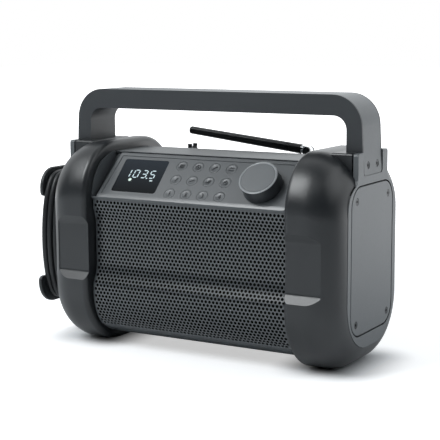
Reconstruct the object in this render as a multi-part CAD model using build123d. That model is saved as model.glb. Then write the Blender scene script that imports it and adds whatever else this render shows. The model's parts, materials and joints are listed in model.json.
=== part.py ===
"""Jobsite radio: a rounded cabinet between two end bumpers, with a fixed bridge handle.

Frame: +Z up, +X to the right end, -Y to the front. The pieces are drawn about the cabinet's centre
line and moved sideways at the end, so that the origin is the middle of the footprint.
"""

from build123d import *
import math
import os

# ------------------------------------------------------------------ driving dimensions, in mm

WALL = 3.0                    # moulded wall of the cabinet
SEAM = 0.3                    # gap along a seam between two mouldings
SEAT_GAP = 0.3                # gap between a piece and what it drops into
RUN_GAP = 0.05                # radial clearance of a shaft in its bush

# cabinet
CABINET_HALF = 106.0          # half length
CABINET_DEPTH = 69.0          # half depth
CABINET_LOW = 8.0             # underside above the floor
CABINET_HIGH = 190.0          # top
CABINET_LOW_R = 50.0          # lower corners
CABINET_HIGH_R = 41.0         # upper corners
SPLIT_Y = 12.0                # where the front housing meets the rear cover
SKIRT_TALL = 6.0              # stiffening skirts below the top cover

# control panel
PANEL_TILT = 45.0             # slope above the level, in degrees
PANEL_LOW_Z = 149.5           # lower edge above the floor
PANEL_SET_IN = 0.6            # lower edge behind the cabinet's front
PANEL_SLOPE = 56.5            # lower edge to upper edge
PANEL_HALF_LOW = 102.4        # half length along the lower edge
PANEL_HALF_HIGH = 98.0        # half length along the upper edge
PANEL_T = 3.2
PANEL_BORDER = 4.5            # raised border round the sunk field
PANEL_FIELD = 0.6             # depth of the sunk field
PANEL_NOSE = 1.4              # rounding of the border's outer edge
PANEL_LIP_R = 12.0            # bend of the lower border towards the front
PANEL_LEDGE = 3.0             # ledge that carries the panel
CHEEK_DEEP = 4.0              # hollow beside the panel, below its border
CHEEK_RIM = 1.2               # thin edge of the end wall beside that hollow
COVER_GAP = 0.6               # dark gap between the panel and the top cover

# display
WINDOW_X = -63.5              # centre of the display
WINDOW_S = 28.6               # its centre up the slope
WINDOW_WIDE = 50.0
WINDOW_TALL = 39.8
WINDOW_T = 1.5
WINDOW_LIP = 1.6
WINDOW_R = 2.5
MODULE_T = 6.0

# keys
KEY_COLUMNS = 4
KEY_ROWS = 3
KEY_FIRST_X = -22.6           # left column
KEY_PITCH_X = 17.95
KEY_FIRST_S = 10.4            # lowest row up the slope
KEY_PITCH_S = 16.5
KEY_R = 5.5
KEY_GAP = 0.2                 # all round the key in its hole
KEY_PROUD = 0.1               # key above the sunk field
KEY_TRAVEL = 0.8
KEY_DISH_R = 30.0             # radius of the finger dish
KEY_DISH = 0.3                # depth of the finger dish
FLANGE_R = 6.7                # flange that holds the key behind the panel
FLANGE_T = 1.0
MAT_T = 1.2
BOARD_T = 1.6

# knob
KNOB_X = 71.0
KNOB_S = 25.3
KNOB_BASE_R = 19.0
KNOB_TOP_R = 18.0
KNOB_HIGH = 12.5              # top above the panel's border
KNOB_LIFT = 0.4               # skirt above the sunk field
KNOB_WALL = 2.4
KNOB_CAP_T = 1.6
KNOB_CAP_RIM = 0.8            # ring of the knob left round the cap
SHAFT_R = 3.0
BUSH_R = 3.6
BUSH_HIGH = 3.0               # bush above the panel's border
ENCODER_SIDE = 13.0
ENCODER_T = 7.0

# grille
GRILLE_T = 1.2
GRILLE_HALF = 105.0
GRILLE_LOW_Z = 22.0
GRILLE_HIGH_Z = 147.5
GRILLE_UPPER_Y = 67.7         # depth of the band above the recess
GRILLE_RECESS_Y = 63.7        # depth of the recessed band
GRILLE_LOWER_Y = 70.1         # depth of the band below the recess
RECESS_TOP_Z = 127.0
RECESS_TOP_RUN = 11.5         # height of the slope above the recess
RECESS_LOW_Z = 79.0
RECESS_LOW_RUN = 15.0         # height of the slope below the recess
RECESS_TOP_R = 8.0
RECESS_LOW_R = 32.0
LEDGE_R = 6.0
LOWER_BEND_R = 50.0
LOWER_BEND_DEG = 41.0
LOWER_BEND_Z = 56.0           # where the lower bend begins
HOLE_PITCH = 12.0
HOLE_FLAT = 7.4               # across the flats
GRILLE_MARGIN = 9.0           # plain edge of the sheet, to the first row of hole centres
RIM_T = 3.0                   # rim of the housing behind the grille
RIM_WIDE = 8.0

# loudspeakers
SPEAKER_X = 53.0
SPEAKER_Z = 82.0
SPEAKER_R = 38.0              # flange
CONE_R = 31.0
SPEAKER_FLANGE_T = 3.0
SPEAKER_DEEP = 36.0
MAGNET_R = 24.0
MAGNET_T = 14.0
BAFFLE_T = 3.0

# bumpers
BUMPER_INNER = 106.4          # face beside the cabinet
BUMPER_OUTER = 157.0          # end face
BUMPER_DEPTH = 80.0           # half depth
BUMPER_HIGH = 200.0
BUMPER_LOW_R = 62.0
BUMPER_HIGH_R = 52.0
END_ROUND_SIDE = 31.0         # rounding from the front and the back to the end face
END_ROUND_TOP = 40.0          # the same from the top
END_ROUND_LOW = 28.0          # and from the bottom
END_STEPS = 24                # sections that draw the rounding
INNER_ROUND = 5.0             # rounding beside the cabinet
BUMPER_WALL = 10.0
HOLLOW_SET_IN = 23.5          # end of the wide hollow, behind the end face
BUMPER_FLOOR = 4.0            # wall beside the cabinet
PAD_DEEP = 5.0                # grip pad sunk in the front and the back
PAD_LOW_Z = 69.0              # the pad's edges on the bumper's face
PAD_HIGH_Z = 131.0
PAD_OUT_X = 143.5
PAD_R = 6.0
PAD_SLOPE = 7.7               # height of the long slopes above and below its floor
PAD_FLOOR_R = 4.0
PAD_DRAFT = 25.0              # slope of its end, in degrees
BUMPER_SCREW_Y = 40.0
BUMPER_SCREW_LOW_Z = 50.0
BUMPER_SCREW_HIGH_Z = 145.0
BUMPER_SCREW_IN = 10.0        # screw's tip inside the cabinet
BOSS_R = 4.6

# end caps
CAP_T = 5.0
CAP_GAP = 0.4
CAP_SEAT = 6.0                # ledge inside the bumper that carries the cap
CAP_INSET_SIDE = 26.5         # cap's edge, from the bumper's front and back
CAP_INSET_LOW = 20.5          # from its underside
CAP_INSET_HIGH = 28.5         # from its top
CAP_LOW_R = 45.0
CAP_HIGH_R = 24.0
EAR_HALF = 33.0               # half depth over both ears of the fork
EAR_TOP_Z = 199.0
EAR_FLARE_R = 8.0
EAR_TIP_R = 3.0
EAR_GROOVE = 1.5              # gap behind the ears
SEAT_BLOCK_LONG = 27.0        # handle's seat block, from the end face inwards

# side door
DOOR_HALF = 46.0
DOOR_LOW_Z = 34.5
DOOR_HIGH_Z = 169.4
DOOR_R = 19.0
DOOR_T = 2.2
DOOR_GROOVE = 1.2
DOOR_LEDGE = 7.0
SEAL_T = 0.8
SEAL_INSET = 1.0
SEAL_WIDE = 3.0
DOOR_SCREW_Y = 35.0
DOOR_SCREW_LOW_Z = 45.6
DOOR_SCREW_HIGH_Z = 157.0
DOOR_BOSS_R = 6.0
DOOR_SCREW_TIP = 3.0         # screw beyond the back of the cap

# handle
HANDLE_TOP_Z = 250.0
HANDLE_UNDER_Z = 231.2
HANDLE_FOOT_Z = 178.3
HANDLE_SET_IN = 0.3           # outer face at the foot, behind the end face
HANDLE_LEAN = 2.4             # how far it leans in up to the top corner
HANDLE_KNEE_Z = 226.0
HANDLE_THICK = 17.1           # leg, across its foot
HANDLE_DEPTH = 21.2           # half depth
HANDLE_OUTER_R = 29.0
HANDLE_INNER_R = 13.0
HANDLE_EDGE_R = 1.2
HANDLE_FOOT_R = 3.5
STRAP_T = 3.0
STRAP_LIP = 1.7               # edge of the frame left beside the strap
CHANNEL_WALL = 4.0
CHANNEL_LOW_Z = 205.0
HANDLE_SCREW_Y = 10.2
HANDLE_SCREW_Z = 187.2
SCREW_R = 2.0
SCREW_HEAD_R = 3.2
SCREW_HEAD_T = 1.8

# cord winder
WINDER_DEEP = 26.0            # room for the cord between the cap and the flange
HOOK_FLANGE_T = 4.0
HOOK_HALF = 46.0              # half length of the upper flange
HOOK_LOW_HALF = 52.0          # and of the lower one
HOOK_LOW_Z = 32.0
HOOK_HIGH_Z = 170.0
HOOK_TALL = 28.5              # height of each flange
HOOK_R = 20.0
HOOK_LOW_R = 22.0
HOOK_END_R = 5.0
HOOK_EDGE_R = 1.2
POST_INSET = 9.5              # flange beyond its post
POST_TALL = 18.0
POST_R = 12.0
CORD_R = 3.0
CORD_TURNS = 4
HOOK_SCREW_IN = 11.0          # screw's tip inside the post
HANK_BULGE = 6.7              # how far the turns bow out between the hooks

# cord gland and plug
GLAND_Y = 22.0
GLAND_Z = 128.0
GLAND_LONG = 16.0
GLAND_WIDE = 12.0
CORD_LAYER = 4.6              # centre of the lead from the cap's face
PLUG_LAYER = 18.0             # centre of the plug from the cap's face
PLUG_WIDE = 35.0
PLUG_T = 13.6
PLUG_LONG = 26.0
PIN_R = 2.0
PIN_LONG = 19.0
PIN_PITCH = 18.6
BOOT_R = 4.4
BOOT_LONG = 6.0

# aerial
AERIAL_X = 65.0
AERIAL_Y = 55.0
AERIAL_Z = 191.0              # hinge above the floor
AERIAL_LIFT = 6.4             # rod above the level, in degrees
AERIAL_LONG = 135.0           # hinge to tip
AERIAL_ROOT_R = 4.75
AERIAL_TIP_R = 3.9
RUBBER_FROM = 7.2             # where the rubber begins, from the hinge
FERRULE_R = 3.9
FERRULE_FROM = 5.2
CORE_R = 1.5                  # metal core inside the rubber
CORE_LONG = 10.0
TONGUE_T = 6.0
TONGUE_R = 3.6
AERIAL_PIN_R = 1.5
EAR_T = 2.2
EAR_GAP = 0.2
SWIVEL_R = 6.5
SWIVEL_T = 1.8
SPIGOT_R = 4.0
SPIGOT_LONG = 6.0
BASE_SIDE = 17.0
BASE_TOP_Z = 184.8
REST_X = -67.0
REST_LONG = 4.5
REST_HALF = 5.8
REST_TOP_Z = 192.0

# rear
REAR_POST_R = 4.5
REAR_POST_X = 92.0
REAR_POST_LOW_Z = 62.0
REAR_POST_HIGH_Z = 142.0
VENT_COUNT = 7
VENT_PITCH = 7.0
VENT_HALF = 30.0
VENT_TALL = 2.6
VENT_LOW_Z = 84.0
LINE_HALF = 98.0              # shadow line round the rear panel
LINE_LOW_Z = 36.0
LINE_HIGH_Z = 159.5
LINE_R = 10.0
LINE_WIDE = 1.6
LINE_DEEP = 1.0

# inner units
MAIN_BOARD_WIDE = 150.0
MAIN_BOARD_TALL = 78.0
MAIN_BOARD_Z = 103.0
MAIN_BOARD_Y = 34.0
CHIPS = [                      # place on the board, width, height and thickness
    (-40.0, 12.0, 26.0, 20.0, 4.0),
    (10.0, -14.0, 34.0, 16.0, 6.0),
    (52.0, 14.0, 18.0, 26.0, 12.0),
]
SUPPLY_WIDE = 60.0
SUPPLY_DEEP = 26.0
SUPPLY_TALL = 34.0
SUPPLY_X = -30.0
PACK_WIDE = 80.0
PACK_TALL = 118.0
PACK_R = 6.0

# ------------------------------------------------------------------ worked out from the above

PANEL_LOW_Y = -(CABINET_DEPTH - PANEL_SET_IN)
SLOPE_COS = math.cos(math.radians(PANEL_TILT))
SLOPE_SIN = math.sin(math.radians(PANEL_TILT))
PANEL_HIGH_Y = PANEL_LOW_Y + PANEL_SLOPE * SLOPE_COS
PANEL_PLANE = Plane(
    origin=(0, PANEL_LOW_Y, PANEL_LOW_Z),
    x_dir=(1, 0, 0),
    z_dir=(0, -SLOPE_SIN, SLOPE_COS),
)
TOP_FRONT_Y = PANEL_HIGH_Y + COVER_GAP
TOP_REAR_Y = CABINET_DEPTH - CABINET_HIGH_R
FLANGE_TOP = -PANEL_T - SEAT_GAP
MAT_TOP = FLANGE_TOP - FLANGE_T - KEY_TRAVEL - SEAT_GAP
BOARD_TOP = MAT_TOP - MAT_T
CAP_HALF = BUMPER_DEPTH - CAP_INSET_SIDE
CAP_LOW_Z = CAP_INSET_LOW
CAP_HIGH_Z = BUMPER_HIGH - CAP_INSET_HIGH
CAP_FACE = BUMPER_OUTER
CAP_BACK = BUMPER_OUTER - CAP_T
SEAT_BLOCK_X = BUMPER_OUTER - SEAT_BLOCK_LONG
HANDLE_FOOT_HALF = BUMPER_OUTER - HANDLE_SET_IN
HANDLE_KNEE_HALF = HANDLE_FOOT_HALF - HANDLE_LEAN
HANDLE_INNER_HALF = HANDLE_FOOT_HALF - HANDLE_THICK
WINDER_FACE = CAP_FACE + WINDER_DEEP + HOOK_FLANGE_T
CENTRE_X = (WINDER_FACE - CAP_FACE) / 2
DOOR_FLOOR = CAP_FACE - DOOR_T - SEAL_T
CUT = 60.0                    # how far a cutting tool runs past the surface


def outline(points, radii):
    """A closed flat outline with one corner radius for each point."""
    return make_face(FilletPolyline(*points, radius=radii, close=True))


def box_outline(left, right, low, high, low_r, high_r):
    """A rounded rectangle with its own radius for the lower and the upper corners."""
    points = [(left, low), (right, low), (right, high), (left, high)]
    return outline(points, [low_r, low_r, high_r, high_r])


def plain_box(left, right, low, high):
    """A sharp rectangle."""
    middle = ((left + right) / 2, (low + high) / 2)
    return Pos(*middle) * Rectangle(right - left, high - low)


def prism_x(face, start, end):
    """A side view (Y, Z) made solid between two places along X."""
    return extrude(Plane.YZ.offset(start) * face, end - start)


def prism_y(face, start, end):
    """A front view (X, Z) made solid between two places along Y."""
    return extrude(Plane.XZ.offset(-end) * face, end - start)


def prism_z(face, start, end):
    """A plan view (X, Y) made solid between two heights."""
    return extrude(Plane.XY.offset(start) * face, end - start)


def prism_panel(face, start, end):
    """A view square to the panel made solid between two heights above its border."""
    return extrude(PANEL_PLANE.offset(start) * face, end - start)


def rod_x(y, z, radius, start, end):
    """A round bar along X."""
    return prism_x(Pos(y, z) * Circle(radius), start, end)


def rod_y(x, z, radius, start, end):
    """A round bar along Y."""
    return prism_y(Pos(x, z) * Circle(radius), start, end)


def mirrored(shape):
    """The same piece on the left end."""
    return mirror(shape, about=Plane.YZ)


def cabinet_view(inset):
    """The cabinet's side view, drawn in by inset."""
    return box_outline(
        -CABINET_DEPTH + inset,
        CABINET_DEPTH - inset,
        CABINET_LOW + inset,
        CABINET_HIGH - inset,
        CABINET_LOW_R - inset,
        CABINET_HIGH_R - inset,
    )


def bumper_view(inset):
    """The bumper's side view, drawn in by inset."""
    return bumper_section(inset, inset, inset)


def bumper_section(side, low, high):
    """The bumper's side view, drawn in by its own amount at the sides, below and above."""
    return box_outline(
        -BUMPER_DEPTH + side,
        BUMPER_DEPTH - side,
        low,
        BUMPER_HIGH - high,
        BUMPER_LOW_R - min(side, low),
        BUMPER_HIGH_R - min(side, high),
    )


def cap_view(grow):
    """The end cap's side view without the ears of the fork, grown all round."""
    return box_outline(
        -CAP_HALF - grow,
        CAP_HALF + grow,
        CAP_LOW_Z - grow,
        CAP_HIGH_Z + grow,
        CAP_LOW_R + grow,
        CAP_HIGH_R + grow,
    )


# ------------------------------------------------------------------ grille and its bent section


def grille_path():
    """The grille's front line in the side view, from above the sheet to below it."""
    bend = math.radians(LOWER_BEND_DEG)
    corner_z = LOWER_BEND_Z - LOWER_BEND_R * math.tan(bend / 2)
    points = [
        (-GRILLE_UPPER_Y, GRILLE_HIGH_Z + 2 * RIM_WIDE),
        (-GRILLE_UPPER_Y, RECESS_TOP_Z + RECESS_TOP_RUN),
        (-GRILLE_RECESS_Y, RECESS_TOP_Z),
        (-GRILLE_RECESS_Y, RECESS_LOW_Z),
        (-GRILLE_LOWER_Y, RECESS_LOW_Z - RECESS_LOW_RUN),
        (-GRILLE_LOWER_Y, corner_z),
        (
            -GRILLE_LOWER_Y + CUT * math.sin(bend) * 0.6,
            corner_z - CUT * math.cos(bend) * 0.6,
        ),
    ]
    return points, [RECESS_TOP_R, RECESS_TOP_R, RECESS_LOW_R, LEDGE_R, LOWER_BEND_R]


def behind_grille(depth):
    """Everything that lies at least depth behind the grille's front, in the side view."""
    points, radii = grille_path()
    front = FilletPolyline(*points, radius=radii)
    first, last = points[0], points[-1]
    back = Polyline(last, (0, last[1]), (0, first[1]), first)
    face = make_face([*front.edges(), *back.edges()])
    return offset(face, amount=-depth, kind=Kind.INTERSECTION) if depth else face


def bent_sheet_view(front_depth, back_depth, low, high):
    """The side view of a sheet that follows the grille between two depths."""
    window = plain_box(-CABINET_DEPTH - WALL * 3, -CABINET_DEPTH / 2, low, high)
    return (behind_grille(front_depth) - behind_grille(back_depth)) & window


def hole_places():
    """Centre and slope of each row of holes along the grille's front line."""
    points, radii = grille_path()
    line = FilletPolyline(*points, radius=radii)
    places = []
    row_pitch = HOLE_PITCH * math.sin(math.radians(60))
    steps = int(line.length / row_pitch)
    for step in range(steps):
        share = (step + 0.5) * row_pitch / line.length
        spot = line @ share
        slope = line % share
        if GRILLE_LOW_Z + GRILLE_MARGIN < spot.Y < GRILLE_HIGH_Z - GRILLE_MARGIN:
            places.append((spot.X, spot.Y, math.atan2(slope.Y, slope.X)))
    return places


def make_grille():
    sheet = prism_x(
        bent_sheet_view(0, GRILLE_T, GRILLE_LOW_Z, GRILLE_HIGH_Z), -GRILLE_HALF, GRILLE_HALF
    )
    across = int((2 * GRILLE_HALF - 2 * GRILLE_MARGIN) / HOLE_PITCH)
    punches = []
    for row, (y, z, angle) in enumerate(hole_places()):
        count = across + 1 - row % 2
        normal = (0, math.sin(angle), -math.cos(angle))
        for column in range(count):
            x = (column - (count - 1) / 2) * HOLE_PITCH
            place = Plane(origin=(x, y, z), x_dir=(1, 0, 0), z_dir=normal)
            hole = RegularPolygon(HOLE_FLAT / 2, 6, major_radius=False)
            punches.append(extrude(place * hole, 3 * GRILLE_T, both=True))
    return sheet - punches


# ------------------------------------------------------------------ cabinet mouldings


def panel_outline(grow):
    """The panel's outline up the slope, grown all round."""
    lean = (PANEL_HALF_LOW - PANEL_HALF_HIGH) / PANEL_SLOPE
    low_half = PANEL_HALF_LOW + grow + lean * grow
    high_half = PANEL_HALF_HIGH + grow - lean * grow
    corner_r = max(2.5 + grow, 1.0)
    points = [
        (-low_half, -grow),
        (low_half, -grow),
        (high_half, PANEL_SLOPE + grow),
        (-high_half, PANEL_SLOPE + grow),
    ]
    return outline(points, [corner_r] * 4)


def cheek_outline():
    """What lies beside the panel up to the end walls' thin edges, seen square to the slope."""
    half = CABINET_HALF - CHEEK_RIM
    return plain_box(-half, half, 0, PANEL_SLOPE + 2 * WALL) - panel_outline(SEAM)


def screw_posts(radius, start, end):
    """The four posts that join the front housing and the rear cover."""
    return [
        rod_y(side * REAR_POST_X, z, radius, start, end)
        for side in (-1, 1)
        for z in (REAR_POST_LOW_Z, REAR_POST_HIGH_Z)
    ]


def post_ribs(start, end):
    """Ribs that tie the posts to the end walls."""
    ribs = []
    for side in (-1, 1):
        inner, outer = REAR_POST_X, CABINET_HALF - WALL / 2
        left, right = sorted((side * inner, side * outer))
        for z in (REAR_POST_LOW_Z, REAR_POST_HIGH_Z):
            ribs.append(prism_y(plain_box(left, right, z - WALL / 3, z + WALL / 3), start, end))
    return ribs


def bumper_screw_places():
    return [
        (side_y * BUMPER_SCREW_Y, z)
        for side_y in (-1, 1)
        for z in (BUMPER_SCREW_LOW_Z, BUMPER_SCREW_HIGH_Z)
    ]


def bumper_bosses(front):
    """Bosses inside the end walls for the screws that hold the bumpers."""
    bosses = []
    for y, z in bumper_screw_places():
        if (y < 0) == front:
            for side in (-1, 1):
                near, far = CABINET_HALF - BUMPER_SCREW_IN - 1, CABINET_HALF - WALL / 2
                bosses.append(rod_x(y, z, BOSS_R, *sorted((side * near, side * far))))
    return bosses


def bumper_bores():
    """The screws' holes through the cabinet's end walls and bosses."""
    bores = []
    for y, z in bumper_screw_places():
        for side in (-1, 1):
            near, far = CABINET_HALF - BUMPER_SCREW_IN - 2, CABINET_HALF + 1
            bores.append(
                rod_x(y, z, SCREW_R + RUN_GAP, *sorted((side * near, side * far)))
            )
    return bores


def make_shell():
    """Front housing: front, underside and end walls, with seats for the grille and the panel."""
    body = prism_x(cabinet_view(0), -CABINET_HALF, CABINET_HALF)
    inside = prism_x(cabinet_view(WALL), -CABINET_HALF + WALL, CABINET_HALF - WALL)
    far = 2 * CABINET_HIGH
    front_part = prism_x(plain_box(-far, SPLIT_Y, -far, far), -far, far)
    top_part = prism_x(
        plain_box(PANEL_HIGH_Y, far, CABINET_HIGH - WALL - SEAM, far), -far, far
    )
    shell = (body - inside) & front_part
    seat = prism_panel(panel_outline(SEAM + WALL), -PANEL_T - WALL, CUT) & body
    shell += seat
    shell += prism_panel(cheek_outline(), -CHEEK_DEEP - WALL, -CHEEK_DEEP) & body
    shell -= prism_panel(cheek_outline(), -CHEEK_DEEP, CUT)
    before_grille = plain_box(-far, 0, -far, GRILLE_HIGH_Z + SEAM) - behind_grille(GRILLE_T)
    shell -= prism_x(before_grille & plain_box(-far, -CABINET_DEPTH / 2, 0, far), -far, far)
    rim = prism_x(
        bent_sheet_view(GRILLE_T, GRILLE_T + RIM_T, GRILLE_LOW_Z - WALL, GRILLE_HIGH_Z + SEAM),
        -CABINET_HALF + WALL / 2,
        CABINET_HALF - WALL / 2,
    )
    window = plain_box(
        -GRILLE_HALF + RIM_WIDE,
        GRILLE_HALF - RIM_WIDE,
        GRILLE_LOW_Z + RIM_WIDE,
        GRILLE_HIGH_Z - RIM_WIDE,
    )
    shell += rim
    shell -= prism_y(window, -far, -CABINET_DEPTH / 2)
    shell -= prism_panel(panel_outline(SEAM), -PANEL_T, CUT)
    shell -= prism_panel(panel_outline(-PANEL_LEDGE), -CUT / 2, CUT)
    shell -= top_part
    post_front = -GRILLE_RECESS_Y + GRILLE_T + RIM_T / 2
    posts = screw_posts(REAR_POST_R, post_front, SPLIT_Y)
    shell += posts + post_ribs(post_front, SPLIT_Y) + bumper_bosses(True)
    shell -= screw_posts(SCREW_R + RUN_GAP, -CABINET_DEPTH / 3, SPLIT_Y + 1)
    return shell - bumper_bores()


def line_outline(inset):
    """The shadow line round the rear panel, seen from the back and drawn in by inset."""
    half = LINE_HALF - inset
    return box_outline(
        -half, half, LINE_LOW_Z + inset, LINE_HIGH_Z - inset, LINE_R - inset, LINE_R - inset
    )


def make_rear_cover():
    """Rear half of the cabinet, with vents, a shadow line and four screw posts."""
    far = 2 * CABINET_HIGH
    body = prism_x(cabinet_view(0), -CABINET_HALF, CABINET_HALF)
    inside = prism_x(cabinet_view(WALL), -CABINET_HALF + WALL, CABINET_HALF - WALL)
    rear_part = prism_x(plain_box(SPLIT_Y + SEAM, far, -far, far), -far, far)
    top_part = prism_x(
        plain_box(-far, TOP_REAR_Y + SEAM, CABINET_HIGH - WALL - SEAM, far), -far, far
    )
    cover = ((body - inside) & rear_part) - top_part
    post_back = CABINET_DEPTH - WALL / 2
    cover += screw_posts(REAR_POST_R, SPLIT_Y + SEAM, post_back)
    cover += post_ribs(SPLIT_Y + SEAM, post_back) + bumper_bosses(False)
    for x in (-MAIN_BOARD_WIDE / 2 + WALL * 2, MAIN_BOARD_WIDE / 2 - WALL * 2):
        for side in (-1, 1):
            z = MAIN_BOARD_Z + side * (MAIN_BOARD_TALL / 2 - WALL * 2)
            cover += rod_y(x, z, REAR_POST_R * 0.8, MAIN_BOARD_Y + BOARD_T, post_back)
    outer, inner = line_outline(0), line_outline(LINE_WIDE)
    skin = body - prism_x(cabinet_view(LINE_DEEP), -far, far)
    cover -= prism_y(outer - inner, CABINET_DEPTH / 2, far) & skin
    for step in range(VENT_COUNT):
        z = VENT_LOW_Z + step * VENT_PITCH
        slot = Pos(0, z) * SlotOverall(2 * VENT_HALF, VENT_TALL)
        cover -= prism_y(slot, CABINET_DEPTH - 2 * WALL, far)
    cover -= screw_posts(SCREW_R + RUN_GAP, SPLIT_Y - 1, far)
    cover -= screw_posts(SCREW_HEAD_R + SEAT_GAP, CABINET_DEPTH - SCREW_HEAD_T - 1, far)
    spigot_room = Pos(AERIAL_X, AERIAL_Y) * Circle(SPIGOT_R + SEAT_GAP)
    cover -= prism_z(spigot_room, BASE_TOP_Z - SPIGOT_LONG - SEAT_GAP, CABINET_HIGH)
    return cover - bumper_bores()


def make_rear_screws():
    head_back = CABINET_DEPTH - 1
    heads = screw_posts(SCREW_HEAD_R, head_back - SCREW_HEAD_T, head_back)
    shanks = screw_posts(SCREW_R, -CABINET_DEPTH / 4, head_back - SCREW_HEAD_T)
    return [head + shank for head, shank in zip(heads, shanks)]


def make_top_cover():
    """Flat lid, undercut along the panel's upper edge, with stiffening skirts below."""
    low = CABINET_HIGH - WALL
    undercut = WALL * SLOPE_SIN / SLOPE_COS
    points = [
        (TOP_FRONT_Y + undercut, low),
        (TOP_REAR_Y, low),
        (TOP_REAR_Y, CABINET_HIGH),
        (TOP_FRONT_Y, CABINET_HIGH),
    ]
    lid = prism_x(outline(points, [0.2, 0.2, 0.2, 0.4]), -CABINET_HALF, CABINET_HALF)
    inner_half = CABINET_HALF - WALL - SEAT_GAP
    for y in (-CABINET_HIGH_R / 4, CABINET_HIGH_R / 4):
        skirt = plain_box(
            y - WALL / 3, y + WALL / 3, CABINET_HIGH - WALL - SKIRT_TALL, CABINET_HIGH - WALL / 2
        )
        lid += prism_x(skirt, -inner_half, inner_half)
    return lid


# ------------------------------------------------------------------ loudspeakers

BAFFLE_FRONT = -GRILLE_RECESS_Y + GRILLE_T + RIM_T


def make_baffle():
    """Flat board behind the grille that carries both loudspeakers."""
    high = PANEL_LOW_Z - PANEL_T - 4 * WALL
    low = GRILLE_LOW_Z + 2 * RIM_WIDE
    half = CABINET_HALF - WALL - SEAT_GAP
    board = box_outline(-half, half, low, high, WALL, WALL)
    for side in (-1, 1):
        board -= Pos(side * SPEAKER_X, SPEAKER_Z) * Circle(CONE_R + WALL)
    baffle = prism_y(board, BAFFLE_FRONT, BAFFLE_FRONT + BAFFLE_T)
    baffle -= screw_posts(REAR_POST_R + SEAT_GAP, -CABINET_DEPTH, 0)
    return baffle - rib_rooms()


def rib_rooms():
    """Room for the ribs of the screw posts."""
    rooms = []
    for side in (-1, 1):
        left, right = sorted((side * REAR_POST_X, side * CABINET_HALF))
        for z in (REAR_POST_LOW_Z, REAR_POST_HIGH_Z):
            reach = WALL / 3 + SEAT_GAP
            rooms.append(
                prism_y(plain_box(left, right, z - reach, z + reach), -CABINET_DEPTH, 0)
            )
    return rooms


def turned(points, x, y, z):
    """A profile (radius, depth) turned about an axis that runs from the front to the back."""
    face = make_face(Polyline(*points, close=True))
    solid = revolve(face, Axis.Y)
    return Pos(x, y, z) * solid


def speaker_basket(side):
    """Pressed basket with its magnet, seated on the back of the baffle."""
    start = SPEAKER_FLANGE_T
    neck = SPEAKER_DEEP - MAGNET_T
    points = [
        (0, SPEAKER_DEEP),
        (0, neck),
        (MAGNET_R * 0.7, neck - WALL),
        (CONE_R, start),
        (CONE_R, 0),
        (SPEAKER_R, 0),
        (SPEAKER_R, start),
        (CONE_R + WALL, start + WALL),
        (MAGNET_R * 0.7 + WALL, neck),
        (MAGNET_R, neck),
        (MAGNET_R, SPEAKER_DEEP),
    ]
    basket = turned(points, side * SPEAKER_X, BAFFLE_FRONT + BAFFLE_T, SPEAKER_Z)
    for corner in range(4):
        angle = math.radians(45 + 90 * corner)
        reach = (SPEAKER_R + CONE_R) / 2
        x = side * SPEAKER_X + reach * math.cos(angle)
        z = SPEAKER_Z + reach * math.sin(angle)
        basket -= rod_y(x, z, SCREW_R, BAFFLE_FRONT, 0)
    return basket


def speaker_cone(side):
    """Cone with its rolled surround and dust cap."""
    gap = SEAT_GAP
    rim = CONE_R - gap
    neck = SPEAKER_DEEP - MAGNET_T
    back = neck - WALL - 2 * gap
    coil = MAGNET_R * 0.7 - 2
    points = [
        (0, back - 6),
        (coil * 0.5, back - 4.5),
        (coil * 0.8, back - 1.2),
        (rim - 5, 2.5),
        (rim - 3.5, 0.6),
        (rim - 1, 0.6),
        (rim, 2.0),
        (rim, 3.2),
        (rim - 2, 2.4),
        (rim - 4, 4.5),
        (coil, back),
        (0, back),
    ]
    return turned(points, side * SPEAKER_X, BAFFLE_FRONT + BAFFLE_T, SPEAKER_Z)


# ------------------------------------------------------------------ control panel


def window_outline(grow):
    return Pos(WINDOW_X, WINDOW_S) * RectangleRounded(
        WINDOW_WIDE + 2 * grow, WINDOW_TALL + 2 * grow, max(WINDOW_R + grow, 0.4)
    )


def key_places():
    """Key number and its place on the panel, from the upper left."""
    places = []
    for row in reversed(range(KEY_ROWS)):
        for column in range(KEY_COLUMNS):
            x = KEY_FIRST_X + column * KEY_PITCH_X
            s = KEY_FIRST_S + row * KEY_PITCH_S
            places.append((len(places) + 1, x, s))
    return places


def mat_outline(grow):
    """The key mat's outline round all twelve keys."""
    reach = FLANGE_R + grow
    right = KEY_FIRST_X + (KEY_COLUMNS - 1) * KEY_PITCH_X
    top = KEY_FIRST_S + (KEY_ROWS - 1) * KEY_PITCH_S
    return box_outline(
        KEY_FIRST_X - reach, right + reach, KEY_FIRST_S - reach, top + reach, 3, 3
    )


def board_corners():
    """Where the panel's bosses carry the key board."""
    reach = FLANGE_R + 2
    right = KEY_FIRST_X + (KEY_COLUMNS - 1) * KEY_PITCH_X
    middle = KEY_FIRST_S + (KEY_ROWS - 1) * KEY_PITCH_S / 2
    return [
        (x, s)
        for x in (KEY_FIRST_X - reach, right + reach)
        for s in (middle - KEY_PITCH_S / 2, middle + KEY_PITCH_S / 2)
    ]


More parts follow.
